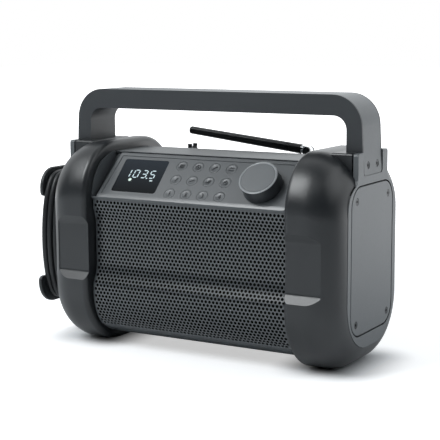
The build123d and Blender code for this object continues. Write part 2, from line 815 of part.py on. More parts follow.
def make_panel():
    panel = prism_panel(panel_outline(0), -PANEL_T, 0)
    top = max(panel.faces(), key=lambda f: PANEL_PLANE.to_local_coords(f.center()).Z)
    panel = fillet(top.edges(), PANEL_NOSE)
    lip = plain_box(-CABINET_HALF, CABINET_HALF, -CUT, PANEL_BORDER)
    bend_place = PANEL_PLANE * Pos(0, PANEL_BORDER, -PANEL_LIP_R) * Rot(0, 90, 0)
    bend = bend_place * Cylinder(PANEL_LIP_R, 4 * CABINET_HALF)
    panel -= prism_panel(lip, -PANEL_LIP_R, CUT) - bend
    panel -= prism_panel(panel_outline(-PANEL_BORDER), -PANEL_FIELD, CUT)
    window_floor = -PANEL_FIELD - WINDOW_T
    panel -= prism_panel(window_outline(0), window_floor, CUT)
    panel -= prism_panel(window_outline(-WINDOW_LIP), -CUT / 2, CUT)
    for _, x, s in key_places():
        panel -= prism_panel(Pos(x, s) * Circle(KEY_R + KEY_GAP), -CUT / 2, CUT)
    panel -= prism_panel(Pos(KNOB_X, KNOB_S) * Circle(BUSH_R + SEAT_GAP), -CUT / 2, CUT)
    for x, s in board_corners():
        panel += prism_panel(Pos(x, s) * Circle(1.6), BOARD_TOP, -PANEL_T + 0.5)
    return panel


def make_window():
    window = prism_panel(
        window_outline(-SEAT_GAP / 2), -PANEL_FIELD - WINDOW_T, -PANEL_FIELD - 0.1
    )
    return window


def make_display_module():
    size = Pos(WINDOW_X, WINDOW_S) * RectangleRounded(WINDOW_WIDE + 4, WINDOW_TALL + 2, 1)
    module = prism_panel(size, -PANEL_T - MODULE_T, -PANEL_T)
    glass = prism_panel(window_outline(-WINDOW_LIP - SEAT_GAP), -PANEL_T - 1, -PANEL_T + 0.6)
    return module + glass


def make_key(x, s):
    """One round key: a dished cap with a flange behind the panel."""
    top = -PANEL_FIELD + KEY_PROUD
    cap = prism_panel(Pos(x, s) * Circle(KEY_R), FLANGE_TOP - FLANGE_T / 2, top)
    crown = max(cap.faces(), key=lambda f: PANEL_PLANE.to_local_coords(f.center()).Z)
    cap = fillet(crown.edges(), 0.35)
    flange = prism_panel(Pos(x, s) * Circle(FLANGE_R), FLANGE_TOP - FLANGE_T, FLANGE_TOP)
    ball_place = PANEL_PLANE * Pos(x, s, top + KEY_DISH_R - KEY_DISH)
    return cap + flange - ball_place * Sphere(KEY_DISH_R)


def make_mat():
    """Rubber mat with a low dome under each key."""
    mat = prism_panel(mat_outline(-0.4), BOARD_TOP, MAT_TOP - MAT_T * 0.4)
    for _, x, s in key_places():
        mat += prism_panel(Pos(x, s) * Circle(KEY_R * 0.7), BOARD_TOP, MAT_TOP)
    return mat


def make_key_board():
    reach = 3.0
    corners = board_corners()
    left = min(x for x, _ in corners) - reach
    right = max(x for x, _ in corners) + reach
    half = KEY_R + FLANGE_R
    low = KEY_FIRST_S - half / 2
    high = KEY_FIRST_S + (KEY_ROWS - 1) * KEY_PITCH_S + half / 2
    return prism_panel(plain_box(left, right, low, high), BOARD_TOP - BOARD_T, BOARD_TOP)


def make_encoder_body():
    """Encoder under the panel, with its threaded bush and nut."""
    place = Pos(KNOB_X, KNOB_S)
    body = prism_panel(
        place * RectangleRounded(ENCODER_SIDE, ENCODER_SIDE, 1), -PANEL_T - ENCODER_T, -PANEL_T
    )
    body += prism_panel(place * Circle(BUSH_R), -PANEL_T - 1, BUSH_HIGH)
    nut = RegularPolygon(BUSH_R + 2.2, 6)
    body += prism_panel(place * nut, -PANEL_FIELD, -PANEL_FIELD + 1.8)
    bore = Circle(SHAFT_R + RUN_GAP)
    return body - prism_panel(place * bore, -PANEL_T - ENCODER_T + 1.2, BUSH_HIGH + 1)


KNOB_SKIRT = -PANEL_FIELD + KNOB_LIFT
SHAFT_TOP = KNOB_HIGH - KNOB_CAP_T - 1.2


def make_encoder_shaft():
    return prism_panel(
        Pos(KNOB_X, KNOB_S) * Circle(SHAFT_R), -PANEL_T - ENCODER_T + 1.4, SHAFT_TOP
    )


def make_knob():
    """Hollow knob with a hub on the shaft and a seat for its cap."""
    points = [
        (KNOB_BASE_R, KNOB_SKIRT),
        (KNOB_BASE_R, KNOB_SKIRT + 1.2),
        (KNOB_TOP_R, KNOB_HIGH - 0.8),
        (KNOB_TOP_R - 0.8, KNOB_HIGH),
        (KNOB_TOP_R - KNOB_CAP_RIM - 0.5, KNOB_HIGH),
        (KNOB_TOP_R - KNOB_CAP_RIM - 0.5, KNOB_HIGH - KNOB_CAP_T),
        (0, KNOB_HIGH - KNOB_CAP_T),
        (0, SHAFT_TOP),
        (SHAFT_R, SHAFT_TOP),
        (SHAFT_R, BUSH_HIGH + 0.6),
        (SHAFT_R + 2.4, BUSH_HIGH + 0.6),
        (SHAFT_R + 2.4, KNOB_HIGH - KNOB_CAP_T - KNOB_WALL),
        (KNOB_TOP_R - KNOB_WALL, KNOB_HIGH - KNOB_CAP_T - KNOB_WALL),
        (KNOB_BASE_R - KNOB_WALL, KNOB_SKIRT),
    ]
    face = Plane.XZ * make_face(Polyline(*points, close=True))
    return PANEL_PLANE * Pos(KNOB_X, KNOB_S) * revolve(face, Axis.Z)


def make_knob_cap():
    radius = KNOB_TOP_R - KNOB_CAP_RIM - 0.5 - 0.1
    cap = prism_panel(
        Pos(KNOB_X, KNOB_S) * Circle(radius), KNOB_HIGH - KNOB_CAP_T, KNOB_HIGH + 0.3
    )
    crown = max(cap.faces(), key=lambda f: PANEL_PLANE.to_local_coords(f.center()).Z)
    return chamfer(crown.edges(), 0.5)


# ------------------------------------------------------------------ bumpers and end caps


def handle_slot_outline(grow):
    """The slot that takes the handle's leg, in the side view."""
    half = HANDLE_DEPTH + CAP_GAP + grow
    low = HANDLE_FOOT_Z - SEAT_GAP - grow
    return box_outline(
        -half, half, low, 2 * BUMPER_HIGH, HANDLE_FOOT_R + CAP_GAP + grow, 1
    )


def cap_outline(grow):
    """End face outline with the two ears of the fork, grown all round."""
    half, top = EAR_HALF + grow, EAR_TOP_Z + grow
    face = cap_view(grow) + plain_box(-half, half, BUMPER_HIGH / 2, top)
    notches = [
        v for v in face.vertices()
        if abs(abs(v.X) - half) < 0.01 and v.Y < top - 1
    ]
    face = fillet(notches, EAR_FLARE_R - grow)
    tips = [v for v in face.vertices() if abs(v.Y - top) < 0.01]
    return fillet(tips, EAR_TIP_R + grow)


def drawn_in(x, deep):
    """How far a rounding of this depth has drawn a side in at a place along the bumper."""
    along = max(0, x - (BUMPER_OUTER - deep)) / deep
    return deep * (1 - math.sqrt(1 - along * along))


def make_bumper_body():
    """The bumper's outside: straight beside the cabinet, then rounded into the end face."""
    start = BUMPER_OUTER - max(END_ROUND_SIDE, END_ROUND_TOP, END_ROUND_LOW)
    body = prism_x(bumper_view(0), BUMPER_INNER, start)
    body = fillet(body.faces().sort_by(Axis.X)[0].edges(), INNER_ROUND)
    sections = []
    for step in range(END_STEPS + 1):
        x = start + (BUMPER_OUTER - start) * math.sin(math.pi / 2 * step / END_STEPS)
        face = bumper_section(
            drawn_in(x, END_ROUND_SIDE), drawn_in(x, END_ROUND_LOW), drawn_in(x, END_ROUND_TOP)
        )
        sections.append(Plane.YZ.offset(x) * face)
    return body + loft(sections)


def make_grip_pad():
    """The room of the front grip pad: long slopes above and below, open beside the cabinet."""
    grown = PAD_DEEP * math.tan(math.radians(PAD_DRAFT))
    pad = box_outline(
        BUMPER_INNER - 3 * INNER_ROUND,
        PAD_OUT_X - grown,
        PAD_LOW_Z + grown,
        PAD_HIGH_Z - grown,
        PAD_R,
        PAD_R,
    )
    room = extrude(
        Plane.XZ.offset(BUMPER_DEPTH - PAD_DEEP) * pad, 2 * PAD_DEEP, taper=-PAD_DRAFT
    )
    floor_y = -BUMPER_DEPTH + PAD_DEEP
    far_y = -BUMPER_DEPTH - PAD_DEEP
    corners = [
        (floor_y, PAD_LOW_Z + PAD_SLOPE),
        (floor_y, PAD_HIGH_Z - PAD_SLOPE),
        (far_y, PAD_HIGH_Z + PAD_SLOPE),
        (far_y, PAD_LOW_Z - PAD_SLOPE),
    ]
    slopes = outline(corners, [PAD_FLOOR_R, PAD_FLOOR_R, 1, 1])
    return room & prism_x(slopes, 0, BUMPER_OUTER)


def make_bumper_right():
    """Hollow end bumper with sunk grip pads and the seat for the handle."""
    body = make_bumper_body()
    block_end = CAP_BACK - EAR_GROOVE
    block = prism_x(
        plain_box(-EAR_HALF, EAR_HALF, BUMPER_HIGH / 2, EAR_TOP_Z), SEAT_BLOCK_X, block_end
    )
    block = fillet(block.faces().sort_by(Axis.Z)[-1].edges(), 2.0)
    body += block
    ear_room = plain_box(
        -EAR_HALF - CAP_GAP, EAR_HALF + CAP_GAP, CAP_HIGH_Z + EAR_FLARE_R / 2, 2 * BUMPER_HIGH
    )
    body -= prism_x(ear_room, block_end, CAP_BACK)
    body -= prism_x(handle_slot_outline(0), HANDLE_INNER_HALF - SEAT_GAP, BUMPER_OUTER + 1)
    body -= prism_x(cap_outline(CAP_GAP), CAP_BACK, BUMPER_OUTER + 1)
    wide_end = BUMPER_OUTER - HOLLOW_SET_IN
    body -= prism_x(bumper_view(BUMPER_WALL), BUMPER_INNER + BUMPER_FLOOR, wide_end)
    body -= prism_x(cap_view(-CAP_SEAT), wide_end - 1, BUMPER_OUTER + 1)
    pad = make_grip_pad()
    body -= pad
    body -= mirror(pad, about=Plane.XZ)
    for y, z in bumper_screw_places():
        body -= rod_x(y, z, SCREW_R + RUN_GAP, BUMPER_INNER - 1, BUMPER_INNER + BUMPER_FLOOR + 1)
    for y in (-HANDLE_SCREW_Y, HANDLE_SCREW_Y):
        body -= rod_x(y, HANDLE_SCREW_Z, SCREW_R + RUN_GAP, SEAT_BLOCK_X + 2, BUMPER_OUTER)
    return body


def door_outline(grow):
    return box_outline(
        -DOOR_HALF - grow,
        DOOR_HALF + grow,
        DOOR_LOW_Z - grow,
        DOOR_HIGH_Z + grow,
        DOOR_R + grow,
        DOOR_R + grow,
    )


def door_screw_places():
    return [
        (y, z)
        for y in (-DOOR_SCREW_Y, DOOR_SCREW_Y)
        for z in (DOOR_SCREW_LOW_Z, DOOR_SCREW_HIGH_Z)
    ]


def door_opening():
    """The way into the battery bay: the door's outline less its ledge and its screw bosses."""
    face = door_outline(-DOOR_LEDGE)
    for y, z in door_screw_places():
        face -= Pos(y, z) * Circle(DOOR_BOSS_R)
    return face


def make_cap_right():
    cap = prism_x(cap_outline(0) - handle_slot_outline(0), CAP_BACK, CAP_FACE)
    cap -= prism_x(door_outline(DOOR_GROOVE), DOOR_FLOOR, CAP_FACE + 1)
    cap -= prism_x(door_opening(), CAP_BACK - 1, CAP_FACE + 1)
    for y, z in door_screw_places():
        cap -= rod_x(y, z, SCREW_R + RUN_GAP, CAP_BACK - 1, CAP_FACE)
    return cap


def make_cap_left():
    cap = mirrored(prism_x(cap_outline(0) - handle_slot_outline(0), CAP_BACK, CAP_FACE))
    for y, z in hook_screw_places():
        cap -= rod_x(y, z, SCREW_R + RUN_GAP, -CAP_FACE - 1, -CAP_BACK + 1)
    return cap


def make_door():
    door = prism_x(door_outline(0), CAP_FACE - DOOR_T, CAP_FACE)
    door = fillet(door.faces().sort_by(Axis.X)[-1].edges(), 0.8)
    for y, z in door_screw_places():
        door -= rod_x(y, z, SCREW_R + RUN_GAP, 0, CAP_FACE + 1)
        door -= rod_x(y, z, SCREW_HEAD_R + SEAT_GAP, CAP_FACE - 1.4, CAP_FACE + 1)
    return door


def make_door_seal():
    ring = door_outline(-SEAL_INSET) - door_outline(-SEAL_INSET - SEAL_WIDE)
    return prism_x(ring, DOOR_FLOOR, DOOR_FLOOR + SEAL_T)


def screw_x(y, z, head_face, head_t, tip):
    """A screw along X: its head's outer face and its tip, either way round."""
    out = 1 if head_face > tip else -1
    head_back = head_face - out * head_t
    head = rod_x(y, z, SCREW_HEAD_R, *sorted((head_back, head_face)))
    shank = rod_x(y, z, SCREW_R, *sorted((tip, head_back)))
    hexagon = Pos(y, z) * RegularPolygon(SCREW_HEAD_R * 0.45, 6)
    socket = prism_x(hexagon, *sorted((head_face - out * head_t * 0.5, head_face + out)))
    return head + shank - socket


def make_door_screws():
    return [
        screw_x(y, z, CAP_FACE - 0.2, 1.2, CAP_BACK - DOOR_SCREW_TIP) for y, z in door_screw_places()
    ]


def make_bumper_screws():
    screws = []
    for y, z in bumper_screw_places():
        head = BUMPER_INNER + BUMPER_FLOOR + SCREW_HEAD_T
        screw = screw_x(y, z, head, SCREW_HEAD_T, CABINET_HALF - BUMPER_SCREW_IN)
        screws += [screw, mirrored(screw)]
    return screws


# ------------------------------------------------------------------ handle


def splay():
    """How much the outer face leans inwards for each millimetre of height."""
    return (HANDLE_FOOT_HALF - HANDLE_KNEE_HALF) / (HANDLE_KNEE_Z - HANDLE_FOOT_Z)


def arch(inset, low):
    """The handle's outer shape, filled in, drawn in by inset and cut off at low."""
    lean = splay()
    slip = inset * math.sqrt(1 + lean * lean)
    top = HANDLE_TOP_Z - inset
    low_half = HANDLE_FOOT_HALF - slip - lean * (low - HANDLE_FOOT_Z)
    high_half = HANDLE_FOOT_HALF - slip - lean * (top - HANDLE_FOOT_Z)
    face = make_face(
        Polyline((-low_half, low), (low_half, low), (high_half, top), (-high_half, top), close=True)
    )
    corners = face.vertices().sort_by(Axis.Y)[-2:]
    return fillet(corners, HANDLE_OUTER_R - inset)


def hand_gap(grow):
    """The gap for the hand under the handle, grown all round."""
    half = HANDLE_INNER_HALF + grow
    face = plain_box(-half, half, 0, HANDLE_UNDER_Z + grow)
    corners = face.vertices().sort_by(Axis.Y)[-2:]
    return fillet(corners, HANDLE_INNER_R + grow)


def make_handle_frame():
    """Bridge handle: a channel open to the outside, which the strap closes."""
    frame = prism_y(arch(0, HANDLE_FOOT_Z) - hand_gap(0), -HANDLE_DEPTH, HANDLE_DEPTH)
    feet = [
        e for e in frame.edges()
        if abs(e.center().Z - HANDLE_FOOT_Z) < 0.01 and abs(abs(e.center().Y) - HANDLE_DEPTH) < 0.01
    ]
    frame = fillet(feet, HANDLE_FOOT_R)
    strap_half = HANDLE_DEPTH - STRAP_LIP
    room = prism_y(
        arch(-2 * STRAP_T, 0) - arch(STRAP_T, 0), -strap_half, strap_half
    )
    frame -= room
    channel = arch(STRAP_T - 1, CHANNEL_LOW_Z) - hand_gap(CHANNEL_WALL)
    channel_half = strap_half - CHANNEL_WALL
    frame -= prism_y(channel, -channel_half, channel_half)
    for side in (-1, 1):
        for y in (-HANDLE_SCREW_Y, HANDLE_SCREW_Y):
            start, end = sorted((side * (HANDLE_INNER_HALF - 1), side * (HANDLE_FOOT_HALF + 1)))
            frame -= rod_x(y, HANDLE_SCREW_Z, SCREW_R + RUN_GAP, start, end)
    return frame


def make_handle_strap():
    """Outer strap that lies flush in the handle's channel."""
    half = HANDLE_DEPTH - STRAP_LIP - SEAM
    strap = prism_y(arch(0, HANDLE_FOOT_Z) - arch(STRAP_T, HANDLE_FOOT_Z), -half, half)
    feet = [
        e for e in strap.edges()
        if abs(e.center().Z - HANDLE_FOOT_Z) < 0.01 and abs(abs(e.center().Y) - half) < 0.01
    ]
    strap = fillet(feet, HANDLE_FOOT_R - STRAP_LIP / 2)
    head_floor = HANDLE_FOOT_HALF - splay() * (HANDLE_SCREW_Z - HANDLE_FOOT_Z) - STRAP_T / 2
    for side in (-1, 1):
        for y in (-HANDLE_SCREW_Y, HANDLE_SCREW_Y):
            start, end = sorted((side * HANDLE_INNER_HALF, side * (HANDLE_FOOT_HALF + 2)))
            strap -= rod_x(y, HANDLE_SCREW_Z, SCREW_R + RUN_GAP, start, end)
            start, end = sorted((side * head_floor, side * (HANDLE_FOOT_HALF + 2)))
            strap -= rod_x(y, HANDLE_SCREW_Z, SCREW_HEAD_R + SEAT_GAP, start, end)
    return strap


def make_handle_screws():
    head_t = STRAP_T / 2 - 0.4
    floor = HANDLE_FOOT_HALF - splay() * (HANDLE_SCREW_Z - HANDLE_FOOT_Z) - STRAP_T / 2
    screws = []
    for y in (-HANDLE_SCREW_Y, HANDLE_SCREW_Y):
        screw = screw_x(y, HANDLE_SCREW_Z, floor + head_t, head_t, SEAT_BLOCK_X + 3)
        screws += [screw, mirrored(screw)]
    return screws


# ------------------------------------------------------------------ cord winder, cord and plug

POST_HALF = HOOK_HALF - POST_INSET
POST_HIGH_Z = HOOK_HIGH_Z - POST_INSET
POST_LOW_Z = HOOK_LOW_Z + POST_INSET


def hook_screw_places():
    """Two screws through the cap into each hook."""
    reach = POST_HALF * 0.6
    return [
        (y, z)
        for y in (-reach, reach)
        for z in (POST_LOW_Z + POST_TALL / 2, POST_HIGH_Z - POST_TALL / 2)
    ]


def make_hook(upper):
    """A post on the left cap with a flange that keeps the turns of cord on it."""
    if upper:
        post = box_outline(
            -POST_HALF, POST_HALF, POST_HIGH_Z - POST_TALL, POST_HIGH_Z, HOOK_END_R, POST_R
        )
        plate = box_outline(
            -HOOK_HALF, HOOK_HALF, HOOK_HIGH_Z - HOOK_TALL, HOOK_HIGH_Z, HOOK_END_R, HOOK_R
        )
    else:
        post = box_outline(
            -POST_HALF, POST_HALF, POST_LOW_Z, POST_LOW_Z + POST_TALL, POST_R, HOOK_END_R
        )
        plate = box_outline(
            -HOOK_LOW_HALF,
            HOOK_LOW_HALF,
            HOOK_LOW_Z,
            HOOK_LOW_Z + HOOK_TALL,
            HOOK_LOW_R,
            HOOK_END_R,
        )
    flange = prism_x(plate, -WINDER_FACE, -WINDER_FACE + HOOK_FLANGE_T)
    flange = fillet(flange.faces().sort_by(Axis.X)[0].edges(), HOOK_EDGE_R)
    flange = fillet(flange.faces().sort_by(Axis.X)[-1].edges(), HOOK_EDGE_R)
    hook = flange + prism_x(post, -WINDER_FACE + HOOK_FLANGE_T / 2, -CAP_FACE)
    for y, z in hook_screw_places():
        hook -= rod_x(y, z, SCREW_R + RUN_GAP, -CAP_FACE - HOOK_SCREW_IN - 1, -CAP_FACE + 1)
    return hook


def make_hook_screws():
    return [
        screw_x(y, z, -CAP_BACK + SCREW_HEAD_T, SCREW_HEAD_T, -CAP_FACE - HOOK_SCREW_IN)
        for y, z in hook_screw_places()
    ]


def hank_outline(grow):
    """The line of the cord's turns round both posts, bowed out between them."""
    half = POST_HALF + grow
    high, low = POST_HIGH_Z + grow, POST_LOW_Z - grow
    radius = POST_R + grow
    middle = (high + low) / 2
    side_high, side_low = high - radius, low + radius
    lines = [
        Line((-half + radius, high), (half - radius, high)),
        RadiusArc((half - radius, high), (half, side_high), radius),
        ThreePointArc((half, side_high), (half + HANK_BULGE, middle), (half, side_low)),
        RadiusArc((half, side_low), (half - radius, low), radius),
        Line((half - radius, low), (-half + radius, low)),
        RadiusArc((-half + radius, low), (-half, side_low), radius),
        ThreePointArc((-half, side_low), (-half - HANK_BULGE, middle), (-half, side_high)),
        RadiusArc((-half, side_high), (-half + radius, high), radius),
    ]
    return make_face(lines)


def make_hank():
    """The wound turns of the mains cord as one plain ring."""
    ring = hank_outline(SEAT_GAP + 2 * CORD_R) - hank_outline(SEAT_GAP)
    thick = min(CORD_TURNS * (2 * CORD_R + 0.3), WINDER_DEEP - 2 * SEAT_GAP)
    outer = -CAP_FACE - WINDER_DEEP + SEAT_GAP
    return prism_x(ring, outer, outer + thick)


# The lead from the gland into the turns, and the end of the cord from the turns to the plug:
# side view (Y, Z) points, each in its own plane beside the cap.
LEAD_POINTS = [(17.5, 118.0), (6.0, 96.0), (-13.0, 80.0), (-38.0, 74.0), (-45.5, 73.0)]
TAIL_POINTS = [(44.5, 73.0), (43.5, 87.0), (37.5, 98.5), (26.5, 105.0), (13.0, 105.0)]


def cord_radii(points):
    """Each bend as large as its two runs allow."""
    radii = []
    for before, here, after in zip(points, points[1:], points[2:]):
        run_in = Vector(*here) - Vector(*before)
        run_out = Vector(*after) - Vector(*here)
        half_turn = math.radians(run_in.get_angle(run_out) / 2)
        shorter = min(run_in.length, run_out.length)
        radii.append(0.45 * shorter / math.tan(half_turn))
    return radii


def cord_tube(points, layer):
    """A plain tube of cord along its points, in the plane that lies layer out from the cap."""
    spots = [(-CAP_FACE - layer, y, z) for y, z in points]
    radii = cord_radii(spots)
    print("cord radii", [round(r, 1) for r in radii])
    path = FilletPolyline(*spots, radius=radii)
    start = Plane(origin=path @ 0, z_dir=path % 0)
    return sweep(start * Circle(CORD_R), path=path)


def make_gland():
    """Strain relief block on the left cap, where the cord comes out."""
    first, second = LEAD_POINTS[0], LEAD_POINTS[1]
    way = Vector(second[0] - first[0], second[1] - first[1]).normalized()
    angle = math.degrees(math.atan2(way.Y, way.X))
    middle = (first[0] - way.X * GLAND_LONG / 2, first[1] - way.Y * GLAND_LONG / 2)
    face = Pos(*middle) * Rot(0, 0, angle) * RectangleRounded(GLAND_LONG, GLAND_WIDE, 0.8)
    return prism_x(face, -CAP_FACE - 2 * CORD_LAYER + 0.4, -CAP_FACE)


def make_plug():
    """Flat two-pin plug, tucked inside the turns."""
    x = -CAP_FACE - PLUG_LAYER
    place = Plane(origin=(x, *TAIL_POINTS[-1]), x_dir=(0, 0, 1), z_dir=(0, -1, 0))
    boot = extrude(place * Circle(BOOT_R), BOOT_LONG)
    front = place.offset(BOOT_LONG)
    body = extrude(front * RectangleRounded(PLUG_WIDE, PLUG_T, PLUG_T * 0.42), PLUG_LONG)
    body = fillet(body.faces().sort_by(Axis.Y)[-1].edges(), 2.0)
    plug = body + boot
    tip = place.offset(BOOT_LONG + PLUG_LONG)
    for side in (-1, 1):
        pin = extrude(tip * Pos(side * PIN_PITCH / 2, 0) * Circle(PIN_R), PIN_LONG)
        plug += pin
    return plug


# ------------------------------------------------------------------ aerial


def make_aerial_base():
    """Pad on the rear corner that the swivel turns in."""
    half = BASE_SIDE / 2
    block = prism_z(
        Pos(AERIAL_X, AERIAL_Y) * RectangleRounded(BASE_SIDE, BASE_SIDE, 3),
        CABINET_HIGH - CABINET_HIGH_R,
        BASE_TOP_Z,
    )
    block -= prism_x(cabinet_view(-0.1), AERIAL_X - half - 1, AERIAL_X + half + 1)
    bore = Pos(AERIAL_X, AERIAL_Y) * Circle(SPIGOT_R + RUN_GAP)
    return block - prism_z(bore, BASE_TOP_Z - SPIGOT_LONG - 0.3, BASE_TOP_Z + 1)


DISC_LOW_Z = BASE_TOP_Z + 0.1
DISC_HIGH_Z = DISC_LOW_Z + SWIVEL_T


def make_swivel():
    """Turntable with two ears that hold the aerial's pin."""
    place = Pos(AERIAL_X, AERIAL_Y)
    swivel = prism_z(place * Circle(SWIVEL_R), DISC_LOW_Z, DISC_HIGH_Z)
    swivel += prism_z(place * Circle(SPIGOT_R), BASE_TOP_Z - SPIGOT_LONG, DISC_LOW_Z + 0.5)
    for side in (-1, 1):
        near = AERIAL_Y + side * (TONGUE_T / 2 + EAR_GAP)
        far = near + side * EAR_T
        ear = Pos(AERIAL_X, AERIAL_Z) * Circle(TONGUE_R)
        ear += plain_box(AERIAL_X - TONGUE_R, AERIAL_X + TONGUE_R, DISC_HIGH_Z - 0.5, AERIAL_Z)
        swivel += prism_y(ear, *sorted((near, far)))
    reach = TONGUE_T / 2 + EAR_GAP + EAR_T
    return swivel - rod_y(
        AERIAL_X, AERIAL_Z, AERIAL_PIN_R, AERIAL_Y - reach - 1, AERIAL_Y + reach + 1
    )


def make_aerial_pin():
    reach = TONGUE_T / 2 + EAR_GAP + EAR_T + 0.2
    return rod_y(AERIAL_X, AERIAL_Z, AERIAL_PIN_R, AERIAL_Y - reach, AERIAL_Y + reach)


def lifted(shape):
    """Turns a piece drawn level along -X, from the hinge, up to the aerial's rest angle."""
    return Pos(AERIAL_X, AERIAL_Y, AERIAL_Z) * Rot(0, AERIAL_LIFT, 0) * shape


def make_knuckle():
    """Metal end of the aerial: a tongue on the pin and a ferrule for the rubber."""
    tongue = Circle(TONGUE_R) + plain_box(-FERRULE_FROM - 0.5, 0, -TONGUE_R, TONGUE_R)
    knuckle = extrude(Plane.XZ.offset(-TONGUE_T / 2) * tongue, TONGUE_T)
    knuckle += extrude(Plane.YZ.offset(-RUBBER_FROM) * Circle(FERRULE_R), RUBBER_FROM - FERRULE_FROM)
    core_end = RUBBER_FROM + CORE_LONG
    knuckle += extrude(Plane.YZ.offset(-core_end) * Circle(CORE_R), CORE_LONG + 1)
    knuckle -= Plane.XZ * Cylinder(AERIAL_PIN_R + RUN_GAP, 2 * TONGUE_T)
    return lifted(knuckle)


def make_aerial_rod():
    """Tapered rubber rod with two grooves near its root and a rounded tip."""
    tip_round = 1.5
    points = [
        (-RUBBER_FROM, 0),
        (-RUBBER_FROM, AERIAL_ROOT_R - 0.5),
        (-RUBBER_FROM - 0.5, AERIAL_ROOT_R),
        (-RUBBER_FROM - 12, AERIAL_ROOT_R - 0.1),
        (-RUBBER_FROM - 12, AERIAL_ROOT_R - 0.6),
        (-RUBBER_FROM - 12.8, AERIAL_ROOT_R - 0.6),
        (-RUBBER_FROM - 12.8, AERIAL_ROOT_R - 0.1),
        (-RUBBER_FROM - 14.6, AERIAL_ROOT_R - 0.1),
        (-RUBBER_FROM - 14.6, AERIAL_ROOT_R - 0.6),
        (-RUBBER_FROM - 15.4, AERIAL_ROOT_R - 0.6),
        (-RUBBER_FROM - 15.4, AERIAL_ROOT_R - 0.1),
        (-AERIAL_LONG + tip_round, AERIAL_TIP_R),
        (-AERIAL_LONG + tip_round * 0.3, AERIAL_TIP_R - tip_round * 0.3),
        (-AERIAL_LONG, AERIAL_TIP_R - tip_round),
        (-AERIAL_LONG, 0),
    ]
    face = Plane.XZ * make_face(Polyline(*points, close=True))
    rod = revolve(face, Axis.X)
    rod -= extrude(Plane.YZ.offset(-RUBBER_FROM - CORE_LONG - 0.1) * Circle(CORE_R), CORE_LONG + 2)
    return lifted(rod)


def make_aerial_rest():
    """U-shaped clip on the rear corner that the folded rod drops into."""
    half = REST_LONG / 2
    clip = plain_box(
        AERIAL_Y - REST_HALF, AERIAL_Y + REST_HALF, CABINET_HIGH - CABINET_HIGH_R, REST_TOP_Z
    )
    groove_r = AERIAL_TIP_R + 0.4
    clip -= Pos(AERIAL_Y, AERIAL_Z) * Circle(groove_r)
    clip -= plain_box(AERIAL_Y - groove_r, AERIAL_Y + groove_r, AERIAL_Z, 2 * AERIAL_Z)
    clip -= cabinet_view(-0.1)
    return prism_x(clip, REST_X - half, REST_X + half)


# ------------------------------------------------------------------ inner units


def make_main_board():
    board = prism_y(
        Pos(0, MAIN_BOARD_Z) * Rectangle(MAIN_BOARD_WIDE, MAIN_BOARD_TALL),
        MAIN_BOARD_Y,
        MAIN_BOARD_Y + BOARD_T,
    )
    for x, z, wide, tall, high in CHIPS:
        chip = Pos(x, MAIN_BOARD_Z + z) * Rectangle(wide, tall)
        board += prism_y(chip, MAIN_BOARD_Y - high, MAIN_BOARD_Y)
    return board


def make_power_supply():
    floor = CABINET_LOW + WALL
    low_y = SPLIT_Y - 2 - SUPPLY_DEEP
    base = plain_box(
        SUPPLY_X - SUPPLY_WIDE / 2, SUPPLY_X + SUPPLY_WIDE / 2, low_y, low_y + SUPPLY_DEEP
    )
    supply = prism_z(base, floor, floor + 3)
    core = Pos(SUPPLY_X, low_y + SUPPLY_DEEP / 2) * Rectangle(SUPPLY_WIDE * 0.7, SUPPLY_DEEP)
    supply += prism_z(core, floor, floor + SUPPLY_TALL)
    coil = Pos(SUPPLY_X, low_y + SUPPLY_DEEP / 2) * Rectangle(SUPPLY_WIDE * 0.4, SUPPLY_DEEP + 8)
    return supply + prism_z(coil, floor + 7, floor + SUPPLY_TALL - 6)


def make_battery_pack():
    low = CAP_LOW_Z + CAP_SEAT + SEAT_GAP
    face = box_outline(-PACK_WIDE / 2, PACK_WIDE / 2, low, low + PACK_TALL, PACK_R, PACK_R)
    pack = prism_x(
        face & cap_view(-CAP_SEAT - SEAT_GAP),
        BUMPER_INNER + BUMPER_FLOOR + SCREW_HEAD_T + SEAT_GAP,
        CAP_BACK - DOOR_SCREW_TIP - SEAT_GAP,
    )
    return pack


# ------------------------------------------------------------------ the assembly

nodes = {
    "cabinet_shell": make_shell(),
    "rear_cover": make_rear_cover(),
    "rear_screws": make_rear_screws(),
    "top_cover": make_top_cover(),
    "front_grille": make_grille(),
    "speaker_baffle": make_baffle(),
    "speaker_left_basket": speaker_basket(-1),
    "speaker_right_basket": speaker_basket(1),
    "speaker_left_cone": speaker_cone(-1),
    "speaker_right_cone": speaker_cone(1),
    "control_panel": make_panel(),
    "display_window": make_window(),
    "display_module": make_display_module(),
    "keypad_mat": make_mat(),
    "keypad_board": make_key_board(),
    "encoder_body": make_encoder_body(),
    "encoder_shaft": make_encoder_shaft(),
    "knob_body": make_knob(),
    "knob_cap": make_knob_cap(),
    "bumper_right": make_bumper_right(),
    "bumper_left": mirrored(make_bumper_right()),
    "end_cap_right": make_cap_right(),
    "end_cap_left": make_cap_left(),
    "side_door": make_door(),
    "door_seal": make_door_seal(),
    "door_screws": make_door_screws(),
    "bumper_screws": make_bumper_screws(),
    "handle_frame": make_handle_frame(),
    "handle_strap": make_handle_strap(),
    "handle_screws": make_handle_screws(),
    "cord_hook_top": make_hook(True),
    "cord_hook_bottom": make_hook(False),
    "hook_screws": make_hook_screws(),
    "cord_gland": make_gland(),
    "cord_lead": cord_tube(LEAD_POINTS, CORD_LAYER),
    "cord_hank": make_hank(),
    "cord_tail": cord_tube(TAIL_POINTS, PLUG_LAYER),
    "mains_plug": make_plug(),
    "antenna_base": make_aerial_base(),
    "antenna_swivel": make_swivel(),
    "antenna_pin": make_aerial_pin(),
    "antenna_knuckle": make_knuckle(),
    "antenna_rod": make_aerial_rod(),
    "antenna_rest": make_aerial_rest(),
    "main_board": make_main_board(),
    "power_supply": make_power_supply(),
    "battery_pack": make_battery_pack(),
}
